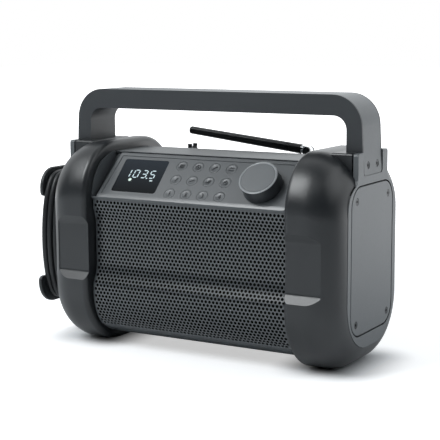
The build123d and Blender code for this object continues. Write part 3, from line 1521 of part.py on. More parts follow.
for number, key_x, key_s in key_places():
    nodes[f"key_{number}"] = make_key(key_x, key_s)

os.makedirs("parts", exist_ok=True)
for name, shape in nodes.items():
    solids = shape if isinstance(shape, list) else [shape]
    group = Compound(children=[Pos(CENTRE_X, 0, 0) * s for part in solids for s in part.solids()])
    export_step(group, f"parts/{name}.step")
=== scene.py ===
# %% [markdown]
# # Dressing a jobsite radio
# The radio's solid parts come in as a fixed frame, each already in its place. This lesson gives
# them finishes and adds what a solid model leaves out: the wound mains cord, the fine perforated
# grille, the lit digits, the marks on the keys and the small moulded details. Nothing that comes
# in is moved or reshaped, so a new piece is always drawn where the frame says it belongs.

# %% Load the frame
import json
import math

import bmesh
import bpy
from mathutils import Matrix, Quaternion, Vector


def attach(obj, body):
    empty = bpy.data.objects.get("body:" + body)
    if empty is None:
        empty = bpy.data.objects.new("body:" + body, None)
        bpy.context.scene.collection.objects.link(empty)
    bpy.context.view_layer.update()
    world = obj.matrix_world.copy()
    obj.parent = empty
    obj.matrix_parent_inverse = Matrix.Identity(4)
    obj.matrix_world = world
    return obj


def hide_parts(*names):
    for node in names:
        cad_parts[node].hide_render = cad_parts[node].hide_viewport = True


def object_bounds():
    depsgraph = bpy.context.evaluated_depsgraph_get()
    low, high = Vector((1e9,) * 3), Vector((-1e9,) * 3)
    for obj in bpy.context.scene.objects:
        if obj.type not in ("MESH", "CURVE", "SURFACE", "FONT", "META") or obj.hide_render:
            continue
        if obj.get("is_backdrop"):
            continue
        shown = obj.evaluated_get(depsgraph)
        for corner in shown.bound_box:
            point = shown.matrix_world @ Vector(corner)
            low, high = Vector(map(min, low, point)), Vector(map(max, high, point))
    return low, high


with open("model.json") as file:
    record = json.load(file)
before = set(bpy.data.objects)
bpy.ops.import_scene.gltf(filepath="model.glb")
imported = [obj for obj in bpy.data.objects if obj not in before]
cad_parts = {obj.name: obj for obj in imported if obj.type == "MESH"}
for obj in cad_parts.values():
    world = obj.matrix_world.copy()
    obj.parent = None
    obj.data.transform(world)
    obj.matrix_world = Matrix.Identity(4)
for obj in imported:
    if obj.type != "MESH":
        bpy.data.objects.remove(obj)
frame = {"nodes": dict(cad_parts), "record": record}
for plain in list(bpy.data.materials):
    bpy.data.materials.remove(plain)
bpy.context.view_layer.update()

# %% [markdown]
# ## Units and small helpers
# The frame is in metres, but a radio is drawn in millimetres, so every size of the radio below is
# written in millimetres and multiplied by MM once. The camera, the floor and the lamps are larger
# and stay in metres. The winder on the left end makes the radio lopsided, and the frame's origin is
# the middle of the whole, so the cabinet's own centre line lies SHIFT to the right of it. An
# operator works on whatever is selected, so each piece starts with a clean slate.

# %% Units and helpers
MM = 0.001
SHIFT = 15.0


def place(x, y, z):
    """A spot measured from the cabinet's centre line, in millimetres, as a frame vector."""
    return Vector(((x + SHIFT) * MM, y * MM, z * MM))


def clean_slate():
    """Leaves edit mode and deselects everything."""
    if bpy.context.object and bpy.context.object.mode != "OBJECT":
        bpy.ops.object.mode_set(mode="OBJECT")
    bpy.ops.object.select_all(action="DESELECT")


def pick(piece):
    """Makes one piece the only selected and the active one."""
    clean_slate()
    piece.select_set(True)
    bpy.context.view_layer.objects.active = piece


def settle(piece, name):
    """Names a piece and moves its place into its mesh."""
    pick(piece)
    piece.name = name
    piece.data.name = name
    bpy.ops.object.transform_apply(location=True, rotation=True, scale=True)
    return piece


def hand_over(piece, body, material):
    """Gives a finished piece its material and the body it rides on."""
    piece.data.materials.clear()
    piece.data.materials.append(material)
    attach(piece, body)
    return piece


# %% [markdown]
# ## The camera
# A long lens from some way off keeps the uprights nearly parallel. The camera looks a little down
# at the radio from its right-hand front. Its tilt about the line of sight is a fraction of a
# degree, so it is written as a turn added after the camera has been aimed.

# %% The camera
CAMERA_SPOT = (0.6152, -1.0390, 0.3090)
CAMERA_TARGET = (0.0119, 0.0, 0.1246)
CAMERA_ROLL = -0.00474
CAMERA_LENS = 102.36

clean_slate()
bpy.ops.object.camera_add(location=CAMERA_SPOT)
camera = bpy.context.object
camera.name = "camera"
sight = Vector(CAMERA_TARGET) - Vector(CAMERA_SPOT)
aim = sight.to_track_quat("-Z", "Y") @ Quaternion((0, 0, 1), CAMERA_ROLL)
camera.rotation_euler = aim.to_euler()
camera.data.lens = CAMERA_LENS
camera.data.sensor_width = 36.0
camera.data.dof.use_dof = False
bpy.context.scene.camera = camera
print("camera", sight.length, "m from what it looks at")

# %% [markdown]
# ## The mains cord
# The cord leaves a strain relief on the left end, passes four times under the lower hook and three
# times over the upper one, and ends in a flat plug tucked inside the turns. A free cord is one
# smooth line of fixed length, so it is one NURBS curve with a round bevel. The points of a turn are
# written once and repeated by a loop that steps outwards by a little more than the cord's
# thickness. Loose turns bow out by different amounts between the hooks, which is what keeps a wound
# cord from looking like a pipe.

# %% The mains cord
CORD_ACROSS = 6.0
LEAD_X = -161.6
PLUG_X = -175.0
LEAD = [(17.5, 118.0), (12.0, 107.5), (5.0, 95.0), (-9.0, 84.0), (-27.0, 76.5), (-38.5, 69.0)]
TAIL = [(46.0, 83.0), (43.5, 92.0), (36.5, 101.5), (25.0, 105.0), (13.0, 105.0)]
LOW_BEND = [(-40.2, 47.5), (-31.0, 38.0), (-13.0, 37.6), (13.0, 37.6), (31.0, 38.0), (40.2, 47.5)]
HIGH_BEND = [(40.2, 154.5), (31.0, 164.0), (13.0, 164.4), (-13.0, 164.4), (-31.0, 164.0)]
FRONT_RUN = [(-40.2, 154.5), (-44.6, 130.0), (-46.8, 101.0), (-44.6, 72.0)]
REAR_RUN = [(44.4, 72.0), (46.4, 101.0), (44.4, 130.0)]
TURN_STEP = 6.35
FIRST_TURN_X = -161.4
BOWS = [1.0, -2.0, 2.2, 0.0]  # one for each turn, the last of which stops after the lower hook
BOW_FROM_Y = 43.0  # only the points farther out than this bow
TAIL_STEPS_OUT = 3  # points of the tail over which it moves out to the plug

route = [(LEAD_X, y, z) for y, z in LEAD]
one_turn = LOW_BEND + REAR_RUN + HIGH_BEND + FRONT_RUN
for turn, turn_bow in enumerate(BOWS):
    points = one_turn if turn < len(BOWS) - 1 else LOW_BEND
    for count, (y, z) in enumerate(points):
        share = count / len(one_turn)
        bow = turn_bow if abs(y) > BOW_FROM_Y else 0.0
        x = FIRST_TURN_X - TURN_STEP * (turn + share)
        route.append((x, y + math.copysign(bow, y), z))
last_x = route[-1][0]
for count, (y, z) in enumerate(TAIL):
    share = min(1.0, count / TAIL_STEPS_OUT)
    route.append((last_x + (PLUG_X - last_x) * share, y, z))

cord_line = bpy.data.curves.new("mains_cord", "CURVE")
cord_line.dimensions = "3D"
cord_line.bevel_depth = CORD_ACROSS / 2 * MM
cord_line.bevel_resolution = 4
cord_line.resolution_u = 8
cord_line.use_fill_caps = True
spline = cord_line.splines.new("NURBS")
spline.points.add(len(route) - 1)
for point, spot in zip(spline.points, route):
    point.co = (*place(*spot), 1.0)
spline.order_u = 3
spline.use_endpoint_u = True
mains_cord = bpy.data.objects.new("mains_cord", cord_line)
bpy.context.scene.collection.objects.link(mains_cord)
print("cord", len(route), "points,", round(spline.calc_length(), 3), "m long")

# %% [markdown]
# ## Shader sums in plain Python
# A finish is mostly arithmetic on patterns: a grain times a depth, a shade plus a little noise.
# Wire holds one output of the node tree and turns +, *, > and < into Math nodes, so a formula reads
# as a formula. Finish holds the tree and adds any other node from its type, settings and inputs.


# %% Shader helpers
class Wire:
    """One output socket that can be used in sums."""

    def __init__(self, finish, socket):
        self.finish = finish
        self.socket = socket

    def sum_with(self, operation, other):
        """Adds the Math node for this wire and another wire or a number."""
        made = self.finish.node("ShaderNodeMath", {"operation": operation}, {0: self, 1: other})
        return made.out("Value")

    def __add__(self, other):
        return self.sum_with("ADD", other)

    def __mul__(self, other):
        return self.sum_with("MULTIPLY", other)

    def __gt__(self, other):
        return self.sum_with("GREATER_THAN", other)

    def __lt__(self, other):
        return self.sum_with("LESS_THAN", other)


class Made:
    """A node that has just been added."""

    def __init__(self, finish, node):
        self.finish = finish
        self.node = node

    def out(self, name):
        return Wire(self.finish, self.node.outputs[name])


class Finish:
    """One material and its node tree."""

    def __init__(self, name):
        self.material = bpy.data.materials.new(name)
        self.material.use_nodes = True
        self.tree = self.material.node_tree
        self.tree.nodes.clear()

    @classmethod
    def on(cls, tree):
        """The same helper on a tree that isn't a material's, such as the world's."""
        made = cls.__new__(cls)
        made.tree = tree
        tree.nodes.clear()
        return made

    def node(self, kind, settings=None, inputs=None):
        """Adds a node; an input is a plain value or the Wire that feeds it."""
        node = self.tree.nodes.new(kind)
        for key, value in (settings or {}).items():
            setattr(node, key, value)
        for key, value in (inputs or {}).items():
            if isinstance(value, Wire):
                self.tree.links.new(value.socket, node.inputs[key])
            else:
                node.inputs[key].default_value = value
        return Made(self, node)

    def spot(self):
        """Where on the radio a point of the surface lies, in metres."""
        return self.node("ShaderNodeTexCoord").out("Object")

    def axis(self, vector, name):
        """The X, Y or Z of a vector."""
        return self.node("ShaderNodeSeparateXYZ", {}, {"Vector": vector}).out(name)

    def rise(self, value, start, end, kind="LINEAR"):
        """Goes from 0 to 1 while the value goes from start to end."""
        inputs = {"Value": value, "From Min": start, "From Max": end}
        return self.node("ShaderNodeMapRange", {"interpolation_type": kind}, inputs).out("Result")

    def noise(self, scale, detail=2.0):
        inputs = {"Vector": self.spot(), "Scale": scale, "Detail": detail}
        return self.node("ShaderNodeTexNoise", {}, inputs).out("Fac")

    def blend(self, share, first, second):
        """Mixes two colours; a Math node would turn them grey."""
        settings = {"data_type": "RGBA", "blend_type": "MIX"}
        mix = self.node("ShaderNodeMix", settings, {"Factor": share})
        for socket, colour in ((mix.node.inputs[6], first), (mix.node.inputs[7], second)):
            if isinstance(colour, Wire):
                self.tree.links.new(colour.socket, socket)
            else:
                socket.default_value = colour
        return Wire(self, mix.node.outputs[2])

    def bump(self, height, depth_mm):
        inputs = {"Height": height, "Distance": depth_mm * MM, "Strength": 1.0}
        return self.node("ShaderNodeBump", {}, inputs).out("Normal")

    def surface(self, **sockets):
        """The Principled shader, with its sockets written in words, wired to the output."""
        inputs = {key.replace("_", " "): value for key, value in sockets.items()}
        shader = self.node("ShaderNodeBsdfPrincipled", {}, inputs)
        self.node("ShaderNodeOutputMaterial", {}, {"Surface": shader.out("BSDF")})
        return self.material


def shade(red, green, blue):
    """A colour as it is seen on screen, from 0 to 255, made linear."""
    def linear(part):
        part /= 255
        return part / 12.92 if part <= 0.04045 else ((part + 0.055) / 1.055) ** 2.4
    return (linear(red), linear(green), linear(blue), 1.0)


# %% [markdown]
# ## Moulded plastic and rubber
# Most of the radio is moulded. Up close such a part is never quite flat in colour or gloss: the
# tool leaves a fine spark-eroded grain, the melt leaves faint clouds, and the gloss wanders a
# little. Three noises at three sizes do that: a grain of a fraction of a millimetre for the bump,
# a mottle of a few millimetres for the gloss and clouds of some centimetres for the colour.

# %% Moulded finish
CLOUD_SCALE = 22.0
CLOUD_SHARE = 0.75
MOTTLE_SCALE = 320.0
# Painted shade: a black for the parts of a finish that lie in shadow inside the radio.
PAINTED_SHADE_BLACK = shade(6, 6, 7)
# Painted shade: a black for faces that look away from the front, such as the walls of the grille's
# holes.
PAINTED_HOLE_SHADE = shade(8, 8, 9)
FRONT_LIMIT = -0.5  # a face's normal points to the front when its Y is below this


def moulded(name, colour, rough, grain_mm=0.45, grain_deep=0.02, cloud=0.05, gloss_drift=0.06,
            shaded_box=None, paint_side_shade=False, **more):
    """A moulded finish. Inside an optional box, in millimetres from the cabinet's middle, the colour
    is painted black as painted shade, and on request so is every face that doesn't look to the
    front."""
    finish = Finish(name)
    clouds = finish.noise(CLOUD_SCALE, 3.0)
    mottle = finish.noise(MOTTLE_SCALE)
    grain = finish.noise(1 / (grain_mm * MM))
    dark = tuple(part * (1 - cloud * 2) for part in colour[:3]) + (1.0,)
    light = tuple(part * (1 + cloud * 2) for part in colour[:3]) + (1.0,)
    tint = finish.blend(clouds * CLOUD_SHARE + mottle * (1 - CLOUD_SHARE), dark, light)
    # Painted shade: inside the box the colour is painted black, where the inside of the radio lies
    # in shadow.
    if shaded_box:
        inside = 1.0
        for axis, (low, high) in zip("XYZ", shaded_box):
            shift = SHIFT if axis == "X" else 0.0
            along = finish.axis(finish.spot(), axis)
            inside = (along > (low + shift) * MM) * (along < (high + shift) * MM) * inside
        tint = finish.blend(inside, tint, PAINTED_SHADE_BLACK)
    # Painted shade: faces that don't look to the front, such as the hole walls and the back, are
    # painted black.
    if paint_side_shade:
        faces = finish.node("ShaderNodeNewGeometry").out("True Normal")
        tint = finish.blend(finish.axis(faces, "Y") > FRONT_LIMIT, tint, PAINTED_HOLE_SHADE)
    return finish.surface(
        Base_Color=tint,
        Roughness=mottle * (2 * gloss_drift) + (rough - gloss_drift),
        Normal=finish.bump(grain, grain_deep),
        **more,
    )


# Painted shade: the cabinet's plastic behind the grille is painted black, so the holes look dark.
SHADE_BEHIND_GRILLE = ((-105.4, 105.4), (-80.0, -50.0), (22.0, 147.6))
cabinet_plastic = moulded("cabinet_plastic", shade(85, 89, 92), 0.4, shaded_box=SHADE_BEHIND_GRILLE)
panel_plastic = moulded(
    "panel_plastic", shade(83, 87, 90), 0.3, grain_mm=0.3, grain_deep=0.01, gloss_drift=0.03,
    Specular_IOR_Level=0.85,
)
# Painted shade: the groove round the side door is painted black, where shade falls into it.
SHADE_IN_DOOR_GROOVE = ((150.0, 156.6), (-47.2, 47.2), (33.3, 170.6))
cap_plastic = moulded("cap_plastic", shade(101, 105, 108), 0.42, shaded_box=SHADE_IN_DOOR_GROOVE)
handle_plastic = moulded("handle_plastic", shade(62, 65, 68), 0.42)
hook_plastic = moulded("hook_plastic", shade(52, 55, 57), 0.42)
inner_plastic = moulded("inner_plastic", shade(24, 25, 26), 0.6)
bumper_rubber = moulded(
    "bumper_rubber", shade(34, 37, 40), 0.36, grain_mm=0.6, grain_deep=0.01, gloss_drift=0.03,
    Specular_IOR_Level=0.8,
)
seal_rubber = moulded("seal_rubber", shade(16, 17, 18), 0.6)
key_rubber = moulded(
    "key_rubber", shade(83, 87, 90), 0.32, grain_mm=0.25, grain_deep=0.008, gloss_drift=0.03,
    Specular_IOR_Level=0.85,
)
mark_rubber = moulded("mark_rubber", shade(60, 63, 66), 0.42, grain_mm=0.25, grain_deep=0.004)
knob_dark = moulded(
    "knob_dark", shade(54, 57, 60), 0.3, grain_deep=0.002, cloud=0.02, gloss_drift=0.02
)
knob_light = moulded(
    "knob_light", shade(100, 104, 107), 0.3, grain_mm=0.3, grain_deep=0.01, gloss_drift=0.03,
    Specular_IOR_Level=0.85,
)
cord_rubber = moulded("cord_rubber", shade(38, 40, 42), 0.42, grain_deep=0.01)
antenna_black = moulded("antenna_black", shade(30, 32, 34), 0.35)
antenna_rubber = moulded("antenna_rubber", shade(28, 30, 32), 0.34, grain_mm=0.3)
cone_paper = moulded("cone_paper", shade(44, 44, 44), 0.75, grain_mm=0.9, grain_deep=0.06)
board_green = moulded("board_green", shade(26, 84, 48), 0.4)
print("moulded finishes ready")

# %% [markdown]
# ## Metals and the display window
# The grille is a painted steel sheet, so it is a coat of satin paint and not bare metal. Screws
# are blackened steel with a faint turned sheen, and the aerial's knuckle is bright plate. The
# window is a dark, smooth sheet whose colour is painted lighter towards the top, a painted
# reflection of the room.

# %% Metals and window
LINE_SCALE = 900.0
LINE_DEEP = 0.004
REFLECTION_LOW_Z = 155.0
REFLECTION_HIGH_Z = 184.0


def metal(name, colour, rough, streak=0.08):
    """A bare or plated metal whose gloss runs in fine streaks."""
    finish = Finish(name)
    lines = finish.noise(LINE_SCALE, 3.0)
    return finish.surface(
        Base_Color=colour,
        Metallic=1.0,
        Roughness=lines * (2 * streak) + (rough - streak),
        Normal=finish.bump(lines, LINE_DEEP),
    )


# Painted shade in the holes: the hole walls and the back of the sheet are painted black.
grille_metal = moulded(
    "grille_metal", shade(84, 88, 91), 0.26, grain_mm=0.25, grain_deep=0.006, gloss_drift=0.03,
    paint_side_shade=True, Specular_IOR_Level=1.0,
)
screw_steel = metal("screw_steel", shade(60, 62, 64), 0.32)
basket_metal = moulded("basket_metal", shade(52, 53, 54), 0.4)
encoder_metal = metal("encoder_metal", shade(170, 172, 174), 0.3)
antenna_chrome = metal("antenna_chrome", shade(222, 224, 226), 0.12, 0.04)
supply_iron = metal("supply_iron", shade(96, 96, 96), 0.5)

glass = Finish("display_glass")
# Painted reflection: the window's colour turns lighter towards the top, as if it mirrored the room.
height = glass.rise(glass.axis(glass.spot(), "Z"), REFLECTION_LOW_Z * MM, REFLECTION_HIGH_Z * MM)
display_glass = glass.surface(
    Base_Color=glass.blend(height, shade(5, 9, 13), shade(44, 51, 59)),
    Roughness=0.2,
    Specular_IOR_Level=0.08,
    Normal=glass.bump(glass.noise(60.0), 0.01),
)

finishes = {
    material.name: material
    for material in (
        cabinet_plastic, panel_plastic, cap_plastic, handle_plastic, hook_plastic, inner_plastic,
        bumper_rubber, seal_rubber, key_rubber, knob_dark, knob_light, cord_rubber, antenna_black,
        antenna_rubber, cone_paper, board_green, grille_metal, screw_steel, basket_metal,
        encoder_metal, antenna_chrome, supply_iron, display_glass,
    )
}
for part in frame["record"]["subparts"]:
    node = frame["nodes"][part["node"]]
    node.data.materials.clear()
    node.data.materials.append(finishes[part["material_slot"]])

# %% [markdown]
# ## The lit display
# The digits are light-emitting bars behind the window. Seven bars draw any digit, so a function
# makes a bar with pointed ends, and a table says which bars each digit lights. The bars are drawn
# on the window's face, a hair above it, and glow by themselves. They lean a little, as such digits
# do.

# %% The panel's own directions
PANEL_LOW_Y = -68.4
PANEL_LOW_Z = 149.5
PANEL_TILT = math.radians(45.0)


def on_panel(x, up, out):
    """A spot on the sloping panel: along it, up its slope and out from its border."""
    y = PANEL_LOW_Y + up * math.cos(PANEL_TILT) - out * math.sin(PANEL_TILT)
    z = PANEL_LOW_Z + up * math.sin(PANEL_TILT) + out * math.cos(PANEL_TILT)
    return place(x, y, z)


def lay_on_panel(piece, name):
    """Takes a piece drawn flat in millimetres (X along, Y up the slope) onto the panel."""
    pick(piece)
    for vertex in piece.data.vertices:
        vertex.co = on_panel(*vertex.co)
    return settle(piece, name)


# %% Flat pieces
SQUARE_TO = 0.9  # how squarely a face has to look along an axis to be chosen
PINCH = 0.1  # how tall a pointed end is beside its bar


def joined(pieces):
    """Joins loose pieces into one."""
    clean_slate()
    for piece in pieces:
        piece.select_set(True)
    bpy.context.view_layer.objects.active = pieces[0]
    bpy.ops.object.join()
    return bpy.context.object


def choose_faces(piece, wanted):
    """Selects, in edit mode, the faces for which wanted(face) is true."""
    cage = bmesh.from_edit_mesh(piece.data)
    for face in cage.faces:
        face.select_set(wanted(face))
    bmesh.update_edit_mesh(piece.data)


def flat_bar(x, up, wide, tall, low, high, turn=0.0, point=0.0):
    """A thin bar drawn flat, with pointed ends if point is given."""
    clean_slate()
    bpy.ops.mesh.primitive_cube_add(size=1.0)
    bar = bpy.context.object
    bar.scale = (wide - 2 * point, tall, high - low)
    bpy.ops.object.transform_apply(scale=True)
    if point:
        bpy.ops.object.mode_set(mode="EDIT")
        bpy.ops.mesh.select_all(action="DESELECT")
        for side in (-1, 1):
            choose_faces(bar, lambda face: face.normal.x * side > SQUARE_TO)
            bpy.ops.mesh.extrude_region_move(TRANSFORM_OT_translate={"value": (side * point, 0, 0)})
            bpy.ops.transform.resize(
                value=(1.0, PINCH, 1.0), center_override=(side * wide / 2, 0, 0)
            )
            bpy.ops.mesh.select_all(action="DESELECT")
        bpy.ops.object.mode_set(mode="OBJECT")
    bar.rotation_euler.z = turn
    bar.location = (x, up, (low + high) / 2)
    bpy.ops.object.transform_apply(location=True, rotation=True)
    return bar


def flat_disc(x, up, radius, low, high, sides=16, hole=0.0):
    """A thin disc or ring drawn flat."""
    clean_slate()
    bpy.ops.mesh.primitive_cylinder_add(
        vertices=sides, radius=radius, depth=high - low, location=(x, up, (low + high) / 2)
    )
    disc = bpy.context.object
    bpy.ops.object.transform_apply(location=True)
    if hole:
        bpy.ops.object.mode_set(mode="EDIT")
        choose_faces(disc, lambda face: abs(face.normal.z) > SQUARE_TO)
        bpy.ops.mesh.inset(thickness=radius - hole)
        bpy.ops.mesh.bridge_edge_loops()
        bpy.ops.object.mode_set(mode="OBJECT")
    return disc


# %% Digits
DIGIT_WIDE = 6.3
DIGIT_TALL = 9.8
STROKE = 1.0
BAR_LONG = 4.5
DIGIT_MIDDLE = 31.1
DIGIT_LEAN = 0.06
GLASS_FACE = -0.7
LIT_TOP = GLASS_FACE + 0.1
BARS = {
    "top": (0, 1, 0), "middle": (0, 0, 0), "bottom": (0, -1, 0),
    "right_up": (1, 0.5, 90), "right_down": (1, -0.5, 90),
    "left_up": (-1, 0.5, 90), "left_down": (-1, -0.5, 90),
}
LIT = {
    0: ("top", "bottom", "right_up", "right_down", "left_up", "left_down"),
    1: ("right_up", "right_down"),
    3: ("top", "middle", "bottom", "right_up", "right_down"),
    5: ("top", "middle", "bottom", "left_up", "right_down"),
}
bars = []
for digit, digit_x in ((1, -78.5), (0, -68.9), (3, -59.8), (5, -50.4)):
    for name in LIT[digit]:
        across, up, turn = BARS[name]
        bars.append(
            flat_bar(
                digit_x + across * (DIGIT_WIDE - STROKE) / 2,
                DIGIT_MIDDLE + up * (DIGIT_TALL - STROKE) / 2,
                BAR_LONG, STROKE, GLASS_FACE, LIT_TOP, math.radians(turn), STROKE / 2,
            )
        )
bars.append(flat_disc(-55.0, 26.3, 0.75, GLASS_FACE, LIT_TOP, 12))
digits = joined(bars)
for vertex in digits.data.vertices:
    vertex.co.x += DIGIT_LEAN * (vertex.co.y - DIGIT_MIDDLE)
lay_on_panel(digits, "display_digits")


def glowing(name, colour, strength):
    """A finish that gives light of its own."""
    light = Finish(name)
    return light.surface(
        Base_Color=shade(10, 12, 12), Emission_Color=colour, Emission_Strength=strength,
        Roughness=0.4,
    )


digit_light = glowing("digit_light", shade(216, 238, 246), 0.95)
hand_over(digits, "cabinet", digit_light)
lamp_dot = lay_on_panel(flat_disc(-73.1, 23.6, 1.7, GLASS_FACE, LIT_TOP), "display_lamp")
hand_over(lamp_dot, "cabinet", glowing("lamp_light", shade(222, 246, 236), 1.0))
unit_mark = lay_on_panel(flat_bar(-49.3, 23.7, 3.0, 1.5, GLASS_FACE, LIT_TOP), "display_mark")
hand_over(unit_mark, "cabinet", glowing("mark_light", shade(200, 218, 222), 1.0))
print("digits", len(digits.data.polygons), "faces")

# %% [markdown]
# ## Marks on the keys
# Each key carries a small raised mark, a little darker than the key. The lowest row is numbered. The
# others have plain signs, and a table lists the bars and discs of each: how far they lie from the
# key's middle, how long or wide they are, and a bar's turn or a disc's sides and hole. A mark stands
# on the key and travels with it, so it rides on the key's body.

# %% Key marks
KEY_COLUMNS_X = [-22.6 + 17.95 * column for column in range(4)]
KEY_ROWS_UP = [10.4 + 16.5 * row for row in range(3)]
MARK_LOW = -0.95
MARK_HIGH = -0.2
MARK_LINE = 0.8
MARK_TEXT = 6.4
SIGNS = {
    1: [("bar", -1.8, 0, 4.2, 78), ("bar", 0, 0, 4.2, 78), ("bar", 1.8, 0, 4.2, 78)],
    2: [("disc", 0, 0, 2.6, 20, 1.9), ("disc", 0, 0, 0.9, 12)],
    3: [("bar", -0.4, -0.4, 4.6, 45), ("disc", 1.6, 1.6, 1.3, 3)],
    4: [("bar", 0, -1.4, 4.8), ("bar", 0, 1.4, 4.8)],
    5: [("bar", 0.6, 0, 4.4, 62)],
    6: [("bar", -0.8, 0, 3.6, 20), ("disc", 1.8, 0.7, 1.3, 3)],
    7: [("bar", -0.6, 0, 4.2, 62), ("bar", 1.0, 0, 4.2, 62), ("disc", -2.2, -0.4, 1.2, 3)],
    8: [("disc", 0, 0, 2.3, 20, 1.6), ("bar", 0, 1.6, 2.4, 90)],
}


def mark_bar(x, up, dx, dup, long, turn=0.0):
    return flat_bar(x + dx, up + dup, long, MARK_LINE, MARK_LOW, MARK_HIGH, math.radians(turn))


def mark_disc(x, up, dx, dup, radius, sides=16, hole=0.0):
    return flat_disc(x + dx, up + dup, radius, MARK_LOW, MARK_HIGH, sides, hole)


def mark_digit(x, up, digit):
    """A plain number, drawn as text and made a mesh."""
    clean_slate()
    bpy.ops.object.text_add(location=(x, up, (MARK_LOW + MARK_HIGH) / 2))
    text = bpy.context.object
    text.data.body = str(digit)
    text.data.size = MARK_TEXT
    text.data.align_x, text.data.align_y = "CENTER", "CENTER"
    text.data.extrude = (MARK_HIGH - MARK_LOW) / 2
    text.data.resolution_u = 3
    bpy.ops.object.convert(target="MESH")
    bpy.ops.object.transform_apply(location=True)
    return bpy.context.object


def key_mark(number, x, up):
    """The pieces of one key's mark: a sign, or a number once the signs run out."""
    if number not in SIGNS:
        return [mark_digit(x, up, number - len(SIGNS))]
    makers = {"bar": mark_bar, "disc": mark_disc}
    return [makers[kind](x, up, *sizes) for kind, *sizes in SIGNS[number]]


number = 0
for up in reversed(KEY_ROWS_UP):
    for x in KEY_COLUMNS_X:
        number += 1
        mark = lay_on_panel(joined(key_mark(number, x, up)), f"key_{number}_mark")
        hand_over(mark, f"key_{number}", mark_rubber)
print("marks on", number, "keys")

# %% [markdown]
# ## Handing the cord over
# The curve takes the place of the plain ring and the two ends that stand for it in the frame.

# %% Hand over the cord
cord_line.materials.append(cord_rubber)
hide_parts("cord_lead", "cord_hank", "cord_tail")
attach(mains_cord, "cabinet")
place(*route[0])

# %% [markdown]
# ## The knob's rim
# The cap is let into the knob, and a thin rounded rim covers the joint. It reaches a little over
# the knob's side and catches the light all along its lower half; its lighter grey is a painted
# highlight. It is a flattened Torus.

# %% The knob's rim
KNOB_X = 71.0
KNOB_UP = 25.3
RIM_OUT = 12.45
RIM_RADIUS = 17.45
RIM_WIDE = 1.1
RIM_FLAT = 0.45

clean_slate()
bpy.ops.mesh.primitive_torus_add(
    major_radius=RIM_RADIUS, minor_radius=RIM_WIDE, major_segments=96, minor_segments=12,
    location=(KNOB_X, KNOB_UP, RIM_OUT),
)
rim = bpy.context.object
rim.scale.z = RIM_FLAT
bpy.ops.object.shade_smooth()
settle(rim, "knob_rim")
lay_on_panel(rim, "knob_rim")
# Painted highlight: the rim is a lighter grey than the cap, so that it shines brighter.
rim_painted_highlight = moulded(
    "rim_painted_highlight", shade(138, 142, 145), 0.28, grain_mm=0.3, grain_deep=0.004, gloss_drift=0.02,
    Specular_IOR_Level=0.9,
)
hand_over(rim, "knob", rim_painted_highlight)

# %% [markdown]
# ## The perforated grille
# The real grille is a steel sheet punched with staggered round holes and then bent along its
# length. It is made the same way here. One small tile with one hole is drawn: a ring, which is a
# cone without ends or height, whose outer points move to the tile's edge. An Array repeats it along
# the row, a second Array repeats the row, and the flat sheet is then laid along the bend line seen
# from the side. Tile corners and edge middles line up from row to row, so the doubles merge into
# one sheet, and Solidify gives that sheet its thickness.

# %% The grille's bend line
GRILLE_HALF = 105.0
GRILLE_LOW_Z = 22.0
GRILLE_HIGH_Z = 147.5
SHEET_THICK = 0.9
SHEET_LOW_Y = -70.1
LOWEST_ANGLE = math.radians(41.0)
LOWEST_RADIUS = 50.0
LOWEST_FROM_Z = 56.0
PAST_END = 60.0  # the line runs on past the sheet's lower edge
HALVINGS = 40


def bent_line(points, radii, step=0.35):
    """The side view of a bent sheet: straight runs joined by arcs, as closely spaced points."""
    spots = [Vector(p) for p in points]
    line = [spots[0]]
    for before, corner, after, radius in zip(spots, spots[1:], spots[2:], radii):
        way_in, way_out = (corner - before).normalized(), (after - corner).normalized()
        turn = way_in.angle(way_out)
        if turn < 1e-4:
            continue
        back = radius * math.tan(turn / 2)
        side = math.copysign(1, way_in.x * way_out.y - way_in.y * way_out.x)
        centre = corner - way_in * back + Vector((-way_in.y, way_in.x)) * side * radius
        arm = corner - way_in * back - centre
        count = max(2, math.ceil(radius * turn / step))
        for i in range(count + 1):
            line.append(centre + Matrix.Rotation(side * turn * i / count, 2) @ arm)
    line.append(spots[-1])
    return line


low_corner = Vector((SHEET_LOW_Y, LOWEST_FROM_Z - LOWEST_RADIUS * math.tan(LOWEST_ANGLE / 2)))
low_way = Vector((math.sin(LOWEST_ANGLE), -math.cos(LOWEST_ANGLE)))
grille_line = bent_line(
    [
        (-67.7, 163.5), (-67.7, 138.5), (-63.7, 127.0), (-63.7, 79.0), (SHEET_LOW_Y, 64.0),
        low_corner, low_corner + low_way * PAST_END,
    ],
    [8.0, 8.0, 32.0, 6.0, LOWEST_RADIUS],
)
runs = [0.0]
for here, there in zip(grille_line, grille_line[1:]):
    runs.append(runs[-1] + (there - here).length)


def along_bend(run):
    """The spot (Y, Z) at a distance along the bend line."""
    for count in range(1, len(runs)):
        if runs[count] >= run:
            share = (run - runs[count - 1]) / max(runs[count] - runs[count - 1], 1e-9)
            return grille_line[count - 1].lerp(grille_line[count], share)
    return grille_line[-1]


def run_at_height(height, start, end):
    """The distance along the bend line at which it comes down to a height."""
    for _ in range(HALVINGS):
        middle = (start + end) / 2
        if along_bend(middle).y > height:
            start = middle
        else:
            end = middle
    return (start + end) / 2


sheet_top = run_at_height(GRILLE_HIGH_Z, 0.0, runs[-1])
sheet_end = run_at_height(GRILLE_LOW_Z, sheet_top, runs[-1])
print("grille sheet", round(sheet_end - sheet_top, 2), "mm along the bend")

# %% The flat perforated sheet
PITCH = 4.0
ROW = PITCH * math.sin(math.radians(60))
HOLE_ACROSS = 2.95
HOLE_SIDES = 12
RING_GROWS = 1.5  # the tile's outer ring beside the hole, before its points move to the edge
LEAST_EDGES = 1.0  # plain sheet above the first and below the last row, together
WELD = 0.01
row_count = int((sheet_end - sheet_top - LEAST_EDGES) / ROW)
margin = (sheet_end - sheet_top - row_count * ROW) / 2

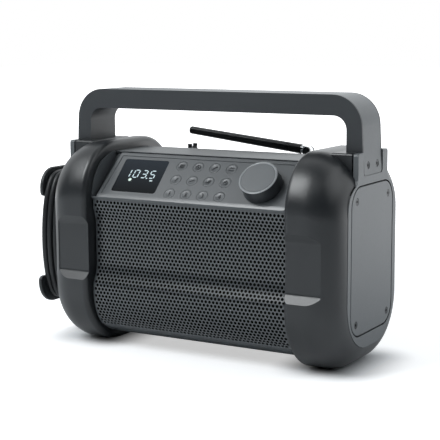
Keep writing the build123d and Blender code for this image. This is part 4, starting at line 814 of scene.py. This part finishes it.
clean_slate()
bpy.ops.mesh.primitive_cone_add(
    vertices=HOLE_SIDES, radius1=HOLE_ACROSS / 2, radius2=RING_GROWS * HOLE_ACROSS / 2, depth=0.0,
    end_fill_type="NOTHING", rotation=(0, 0, math.radians(180 / HOLE_SIDES)),
)
tile = settle(bpy.context.object, "tile")
edge_spots = [
    (half_x * PITCH / 4, half_y * ROW / 2)
    for half_x, half_y in (
        (2, 0), (2, 1), (1, 1), (0, 1), (-1, 1), (-2, 1),
        (-2, 0), (-2, -1), (-1, -1), (0, -1), (1, -1), (2, -1),
    )
]
outer = sorted(
    (v for v in tile.data.vertices if v.co.length > HOLE_ACROSS / 2 * (1 + RING_GROWS) / 2),
    key=lambda v: math.atan2(v.co.y, v.co.x) % math.tau,
)
edge_spots.sort(key=lambda spot: math.atan2(spot[1], spot[0]) % math.tau)
first = min(range(HOLE_SIDES), key=lambda i: (outer[i].co.xy - Vector(edge_spots[0])).length)
for count, spot in enumerate(edge_spots):
    outer[(first + count) % HOLE_SIDES].co = (*spot, 0.0)
print("tile", len(tile.data.polygons), "faces round one hole")


def repeat(piece, count, step):
    """Repeats a piece in a row with an Array that welds the copies."""
    pick(piece)
    array = piece.modifiers.new("repeat", "ARRAY")
    array.use_relative_offset = False
    array.use_constant_offset = True
    array.constant_offset_displace = step
    array.count = count
    array.use_merge_vertices = True
    array.merge_threshold = WELD
    bpy.ops.object.modifier_apply(modifier=array.name)


def give_thickness(piece, thick, offset):
    """Makes a sheet solid: backwards from it at an offset of -1, to both sides of it at 0."""
    pick(piece)
    thicken = piece.modifiers.new("thicken", "SOLIDIFY")
    thicken.thickness = thick * MM
    thicken.offset = offset
    bpy.ops.object.modifier_apply(modifier=thicken.name)


# %% Rows, edges and the bend
EVEN_COUNT = 51
ODD_COUNT = 52
SMOOTH_BELOW = math.radians(40)

even_row = tile
odd_row = tile.copy()
odd_row.data = tile.data.copy()
bpy.context.scene.collection.objects.link(odd_row)
for row, count, down in ((even_row, EVEN_COUNT, 0), (odd_row, ODD_COUNT, 1)):
    repeat(row, count, (PITCH, 0, 0))
    for vertex in row.data.vertices:
        vertex.co.x -= (count - 1) * PITCH / 2
        vertex.co.y -= (down + 0.5) * ROW
    repeat(row, (row_count + 1 - down) // 2, (0, -2 * ROW, 0))


def flat_strip(left, right, columns, top, bottom, rows):
    """A plain piece of the flat sheet."""
    clean_slate()
    bpy.ops.mesh.primitive_grid_add(
        x_subdivisions=columns, y_subdivisions=rows, size=1.0,
        location=((left + right) / 2, (top + bottom) / 2, 0),
    )
    strip = bpy.context.object
    strip.scale = (right - left, top - bottom, 1.0)
    return settle(strip, "strip")


sheet_down = row_count * ROW
edge_x = ODD_COUNT * PITCH / 2
strips = []
for side in (-1, 1):
    left, right = sorted((side * edge_x, side * GRILLE_HALF))
    strips.append(flat_strip(left, right, 1, 0, -sheet_down, 2 * row_count))
    inner, outer_x = sorted((side * (edge_x - PITCH / 2), side * edge_x))
    filler = flat_strip(inner, outer_x, 2, 0, -ROW, 2)
    repeat(filler, (row_count + 1) // 2, (0, -2 * ROW, 0))
    strips.append(filler)
for low, high in ((0, margin), (-sheet_down - margin, -sheet_down)):
    strips.append(flat_strip(-edge_x, edge_x, int(2 * edge_x), high, low, 1))
    for side in (-1, 1):
        left, right = sorted((side * edge_x, side * GRILLE_HALF))
        strips.append(flat_strip(left, right, 1, high, low, 1))

clean_slate()
for part in [odd_row, *strips, even_row]:
    part.select_set(True)
bpy.context.view_layer.objects.active = even_row
bpy.ops.object.join()
grille_sheet = bpy.context.object
bpy.ops.object.mode_set(mode="EDIT")
bpy.ops.mesh.select_all(action="SELECT")
bpy.ops.mesh.remove_doubles(threshold=2 * WELD)
bpy.ops.mesh.normals_make_consistent(inside=False)
bpy.ops.object.mode_set(mode="OBJECT")
for vertex in grille_sheet.data.vertices:
    spot = along_bend(sheet_top + margin - vertex.co.y)
    vertex.co = place(vertex.co.x, spot.x, spot.y)
settle(grille_sheet, "grille_sheet")
top_face = max(grille_sheet.data.polygons, key=lambda face: face.center.z)
if top_face.normal.y > 0:
    grille_sheet.data.flip_normals()
give_thickness(grille_sheet, SHEET_THICK, -1.0)
bpy.ops.object.shade_smooth_by_angle(angle=SMOOTH_BELOW)
hand_over(grille_sheet, "cabinet", grille_metal)
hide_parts("front_grille")
print("grille", len(grille_sheet.data.polygons), "faces", row_count, "rows")

# %% [markdown]
# ## The black cloth behind the grille
# A thin black cloth behind the sheet stands in for the shade inside the cabinet: a painted shade
# that makes the holes look black right up to the sheet's edges. It follows the same bend line,
# between the sheet and the ledge that carries it, and takes up the thickness that the sheet leaves
# there.

# %% The black cloth behind the grille
CLOTH_THICK = 0.15
CLOTH_BEHIND = SHEET_THICK + CLOTH_THICK
CLOTH_SHORT = 0.4
CLOTH_HALF = GRILLE_HALF - CLOTH_SHORT
CLOTH_COLUMNS = 4
CLOTH_ROWS = 180
NEARBY = 0.5  # the line's direction is taken between two spots this far to either side
WEAVE_SCALE = 2500.0
WEAVE_DEEP = 0.05


def inside_bend(run, depth):
    """The spot (Y, Z) that lies a depth behind the bend line."""
    way = (along_bend(run + NEARBY) - along_bend(run - NEARBY)).normalized()
    return along_bend(run) + Vector((-way.y, way.x)) * depth


cloth_top = sheet_top + CLOTH_SHORT
cloth_end = sheet_end - CLOTH_SHORT
cloth = flat_strip(-CLOTH_HALF, CLOTH_HALF, CLOTH_COLUMNS, cloth_end, cloth_top, CLOTH_ROWS)
for vertex in cloth.data.vertices:
    spot = inside_bend(vertex.co.y, CLOTH_BEHIND)
    vertex.co = place(vertex.co.x, spot.x, spot.y)
settle(cloth, "grille_shade_cloth")
give_thickness(cloth, CLOTH_THICK, 0.0)
# Painted shade: the cloth is a near-black sheet where the inside of the cabinet lies in shadow.
shade_cloth_black = Finish("shade_cloth_black")
weave = shade_cloth_black.noise(WEAVE_SCALE, 1.0)
shade_cloth_black.surface(
    Base_Color=shade(5, 5, 6), Roughness=0.95, Specular_IOR_Level=0.1,
    Normal=shade_cloth_black.bump(weave, WEAVE_DEEP),
)
hand_over(cloth, "cabinet", shade_cloth_black.material)
(cloth_end - cloth_top) * MM
print("dust cloth", 2 * CLOTH_HALF, "by", round(cloth_end - cloth_top, 2), "mm flat")

# %% [markdown]
# ## Floor, backdrop and light
# A wide pale plane stands in for a studio table. It is a plain diffuse surface with a little light
# of its own, which the camera sees and which fades away near the two feet, so the soft contact
# shadows stay under them while the rest turns white. Reflections see that light only behind the
# radio, so its front isn't washed out from below.
#
# The lamps are large and soft. The strongest is tall and stands high on the left front: the panel's
# lower lip, the fold in the grille and the sloped ends of the pads all mirror it. Two overhead light
# the top faces, the ones on the left and upper right round the bumpers off, and a broad weak one
# behind, with the bright half of the sky, draws the rims.

# %% Floor and backdrop
FLOOR_WIDE = 12.0
FLOOR_SPOT = (0.0, 2.0, 0.0)
FOOT_SPOT = (0.131, 0.0, 0.0)
FOOT_HALF = (0.012, 0.03, 0.0)
NEAR_LIFT = 0.55
NEAR_FADE = (0.0, 0.05)
FAR_LIFT = 0.9
FAR_FADE = (0.15, 1.1)
BACK_FADE = (0.0, 0.6)

clean_slate()
bpy.ops.mesh.primitive_plane_add(size=FLOOR_WIDE, location=FLOOR_SPOT)
floor = settle(bpy.context.object, "floor")
ground = Finish("floor_white")


def vector_sum(operation, first, second=(0.0, 0.0, 0.0), result="Vector"):
    """A Vector Math node of the floor's material."""
    inputs = {0: first, 1: second}
    return ground.node("ShaderNodeVectorMath", {"operation": operation}, inputs).out(result)


def fade(value, span):
    """Goes smoothly from 0 to 1 over a span."""
    return ground.rise(value, *span, "SMOOTHSTEP")


folded = vector_sum("ABSOLUTE", vector_sum("SUBTRACT", ground.spot(), place(0, 0, 0)))
foot = vector_sum("ABSOLUTE", vector_sum("SUBTRACT", folded, FOOT_SPOT))
beyond = vector_sum("MAXIMUM", vector_sum("SUBTRACT", foot, FOOT_HALF))
distance = vector_sum("LENGTH", beyond, result="Value")
reflects = ground.node("ShaderNodeBsdfDiffuse", {}, {"Color": (0.78, 0.8, 0.82, 1.0)})
rays = ground.node("ShaderNodeLightPath")
back_there = fade(ground.axis(ground.spot(), "Y"), BACK_FADE)
seen_floor = rays.out("Is Camera Ray") + rays.out("Is Transmission Ray")
shown = seen_floor + rays.out("Is Glossy Ray") * back_there
lift = shown * (fade(distance, NEAR_FADE) * NEAR_LIFT + fade(distance, FAR_FADE) * FAR_LIFT)
glow = ground.node("ShaderNodeEmission", {}, {"Strength": lift})
both = ground.node("ShaderNodeAddShader", {}, {0: reflects.out("BSDF"), 1: glow.out("Emission")})
ground.node("ShaderNodeOutputMaterial", {}, {"Surface": both.out("Shader")})
floor.data.materials.append(ground.material)
floor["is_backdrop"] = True

# %% World and lamps
BRIGHT_HALF = (-0.1, 0.5)
LAMP_AIM = Vector((0.0, 0.0, 0.12))
DAYLIGHT = (0.955, 0.985, 1.0)

world = bpy.data.worlds.new("studio")
bpy.context.scene.world = world
world.use_nodes = True
sky = Finish.on(world.node_tree)
paths = sky.node("ShaderNodeLightPath")
toward = sky.node("ShaderNodeTexCoord").out("Generated")
screen = sky.rise(sky.axis(toward, "Y"), *BRIGHT_HALF)
glow = sky.node("ShaderNodeBackground", {}, {"Color": (0.95, 0.98, 1.0, 1.0), "Strength": screen})
white = sky.node("ShaderNodeBackground", {}, {"Color": (1.0, 1.0, 1.0, 1.0), "Strength": 1.0})
seen = paths.out("Is Camera Ray") + paths.out("Is Transmission Ray")
pick_sky = sky.node(
    "ShaderNodeMixShader", {}, {0: seen, 1: glow.out("Background"), 2: white.out("Background")}
)
sky.node("ShaderNodeOutputWorld", {}, {"Surface": pick_sky.out("Shader")})


def soft_lamp(name, way, distance, size, power):
    """A large area lamp at a distance in one direction, turned towards the radio."""
    way = Vector(way).normalized()
    clean_slate()
    bpy.ops.object.light_add(type="AREA", location=LAMP_AIM + way * distance)
    lamp = bpy.context.object
    lamp.name = name
    lamp.data.shape = "RECTANGLE"
    lamp.data.size, lamp.data.size_y = size
    lamp.data.energy = power
    lamp.data.color = DAYLIGHT
    lamp.rotation_euler = (-way).to_track_quat("-Z", "Y").to_euler()
    return lamp


soft_lamp("overhead_front", (0, -0.6, 1), 1.6, (1.6, 0.8), 2.4)
soft_lamp("overhead_back", (0, 0.6, 1), 1.6, (1.6, 0.8), 1.6)
soft_lamp("upper_left", (-0.6, -0.3, 0.74), 1.6, (0.8, 0.8), 3.0)
soft_lamp("left", (-1, 0, 0.4), 1.6, (0.9, 1.0), 1.4)
soft_lamp("tall_left", (-0.35, -0.6, 0.72), 1.6, (0.6, 0.95), 14.0)
soft_lamp("upper_right", (0.9, 0, 0.8), 1.6, (1.0, 1.0), 3.0)
soft_lamp("behind", (0, 1, 0.4), 1.8, (2.0, 1.2), 4.0)

# %% [markdown]
# ## View settings and sizes
# The Standard view keeps the colours as they were chosen, and the box round the finished radio is
# measured.

# %% View settings, sizes and the end
bpy.context.scene.view_settings.view_transform = "Standard"
low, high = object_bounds()
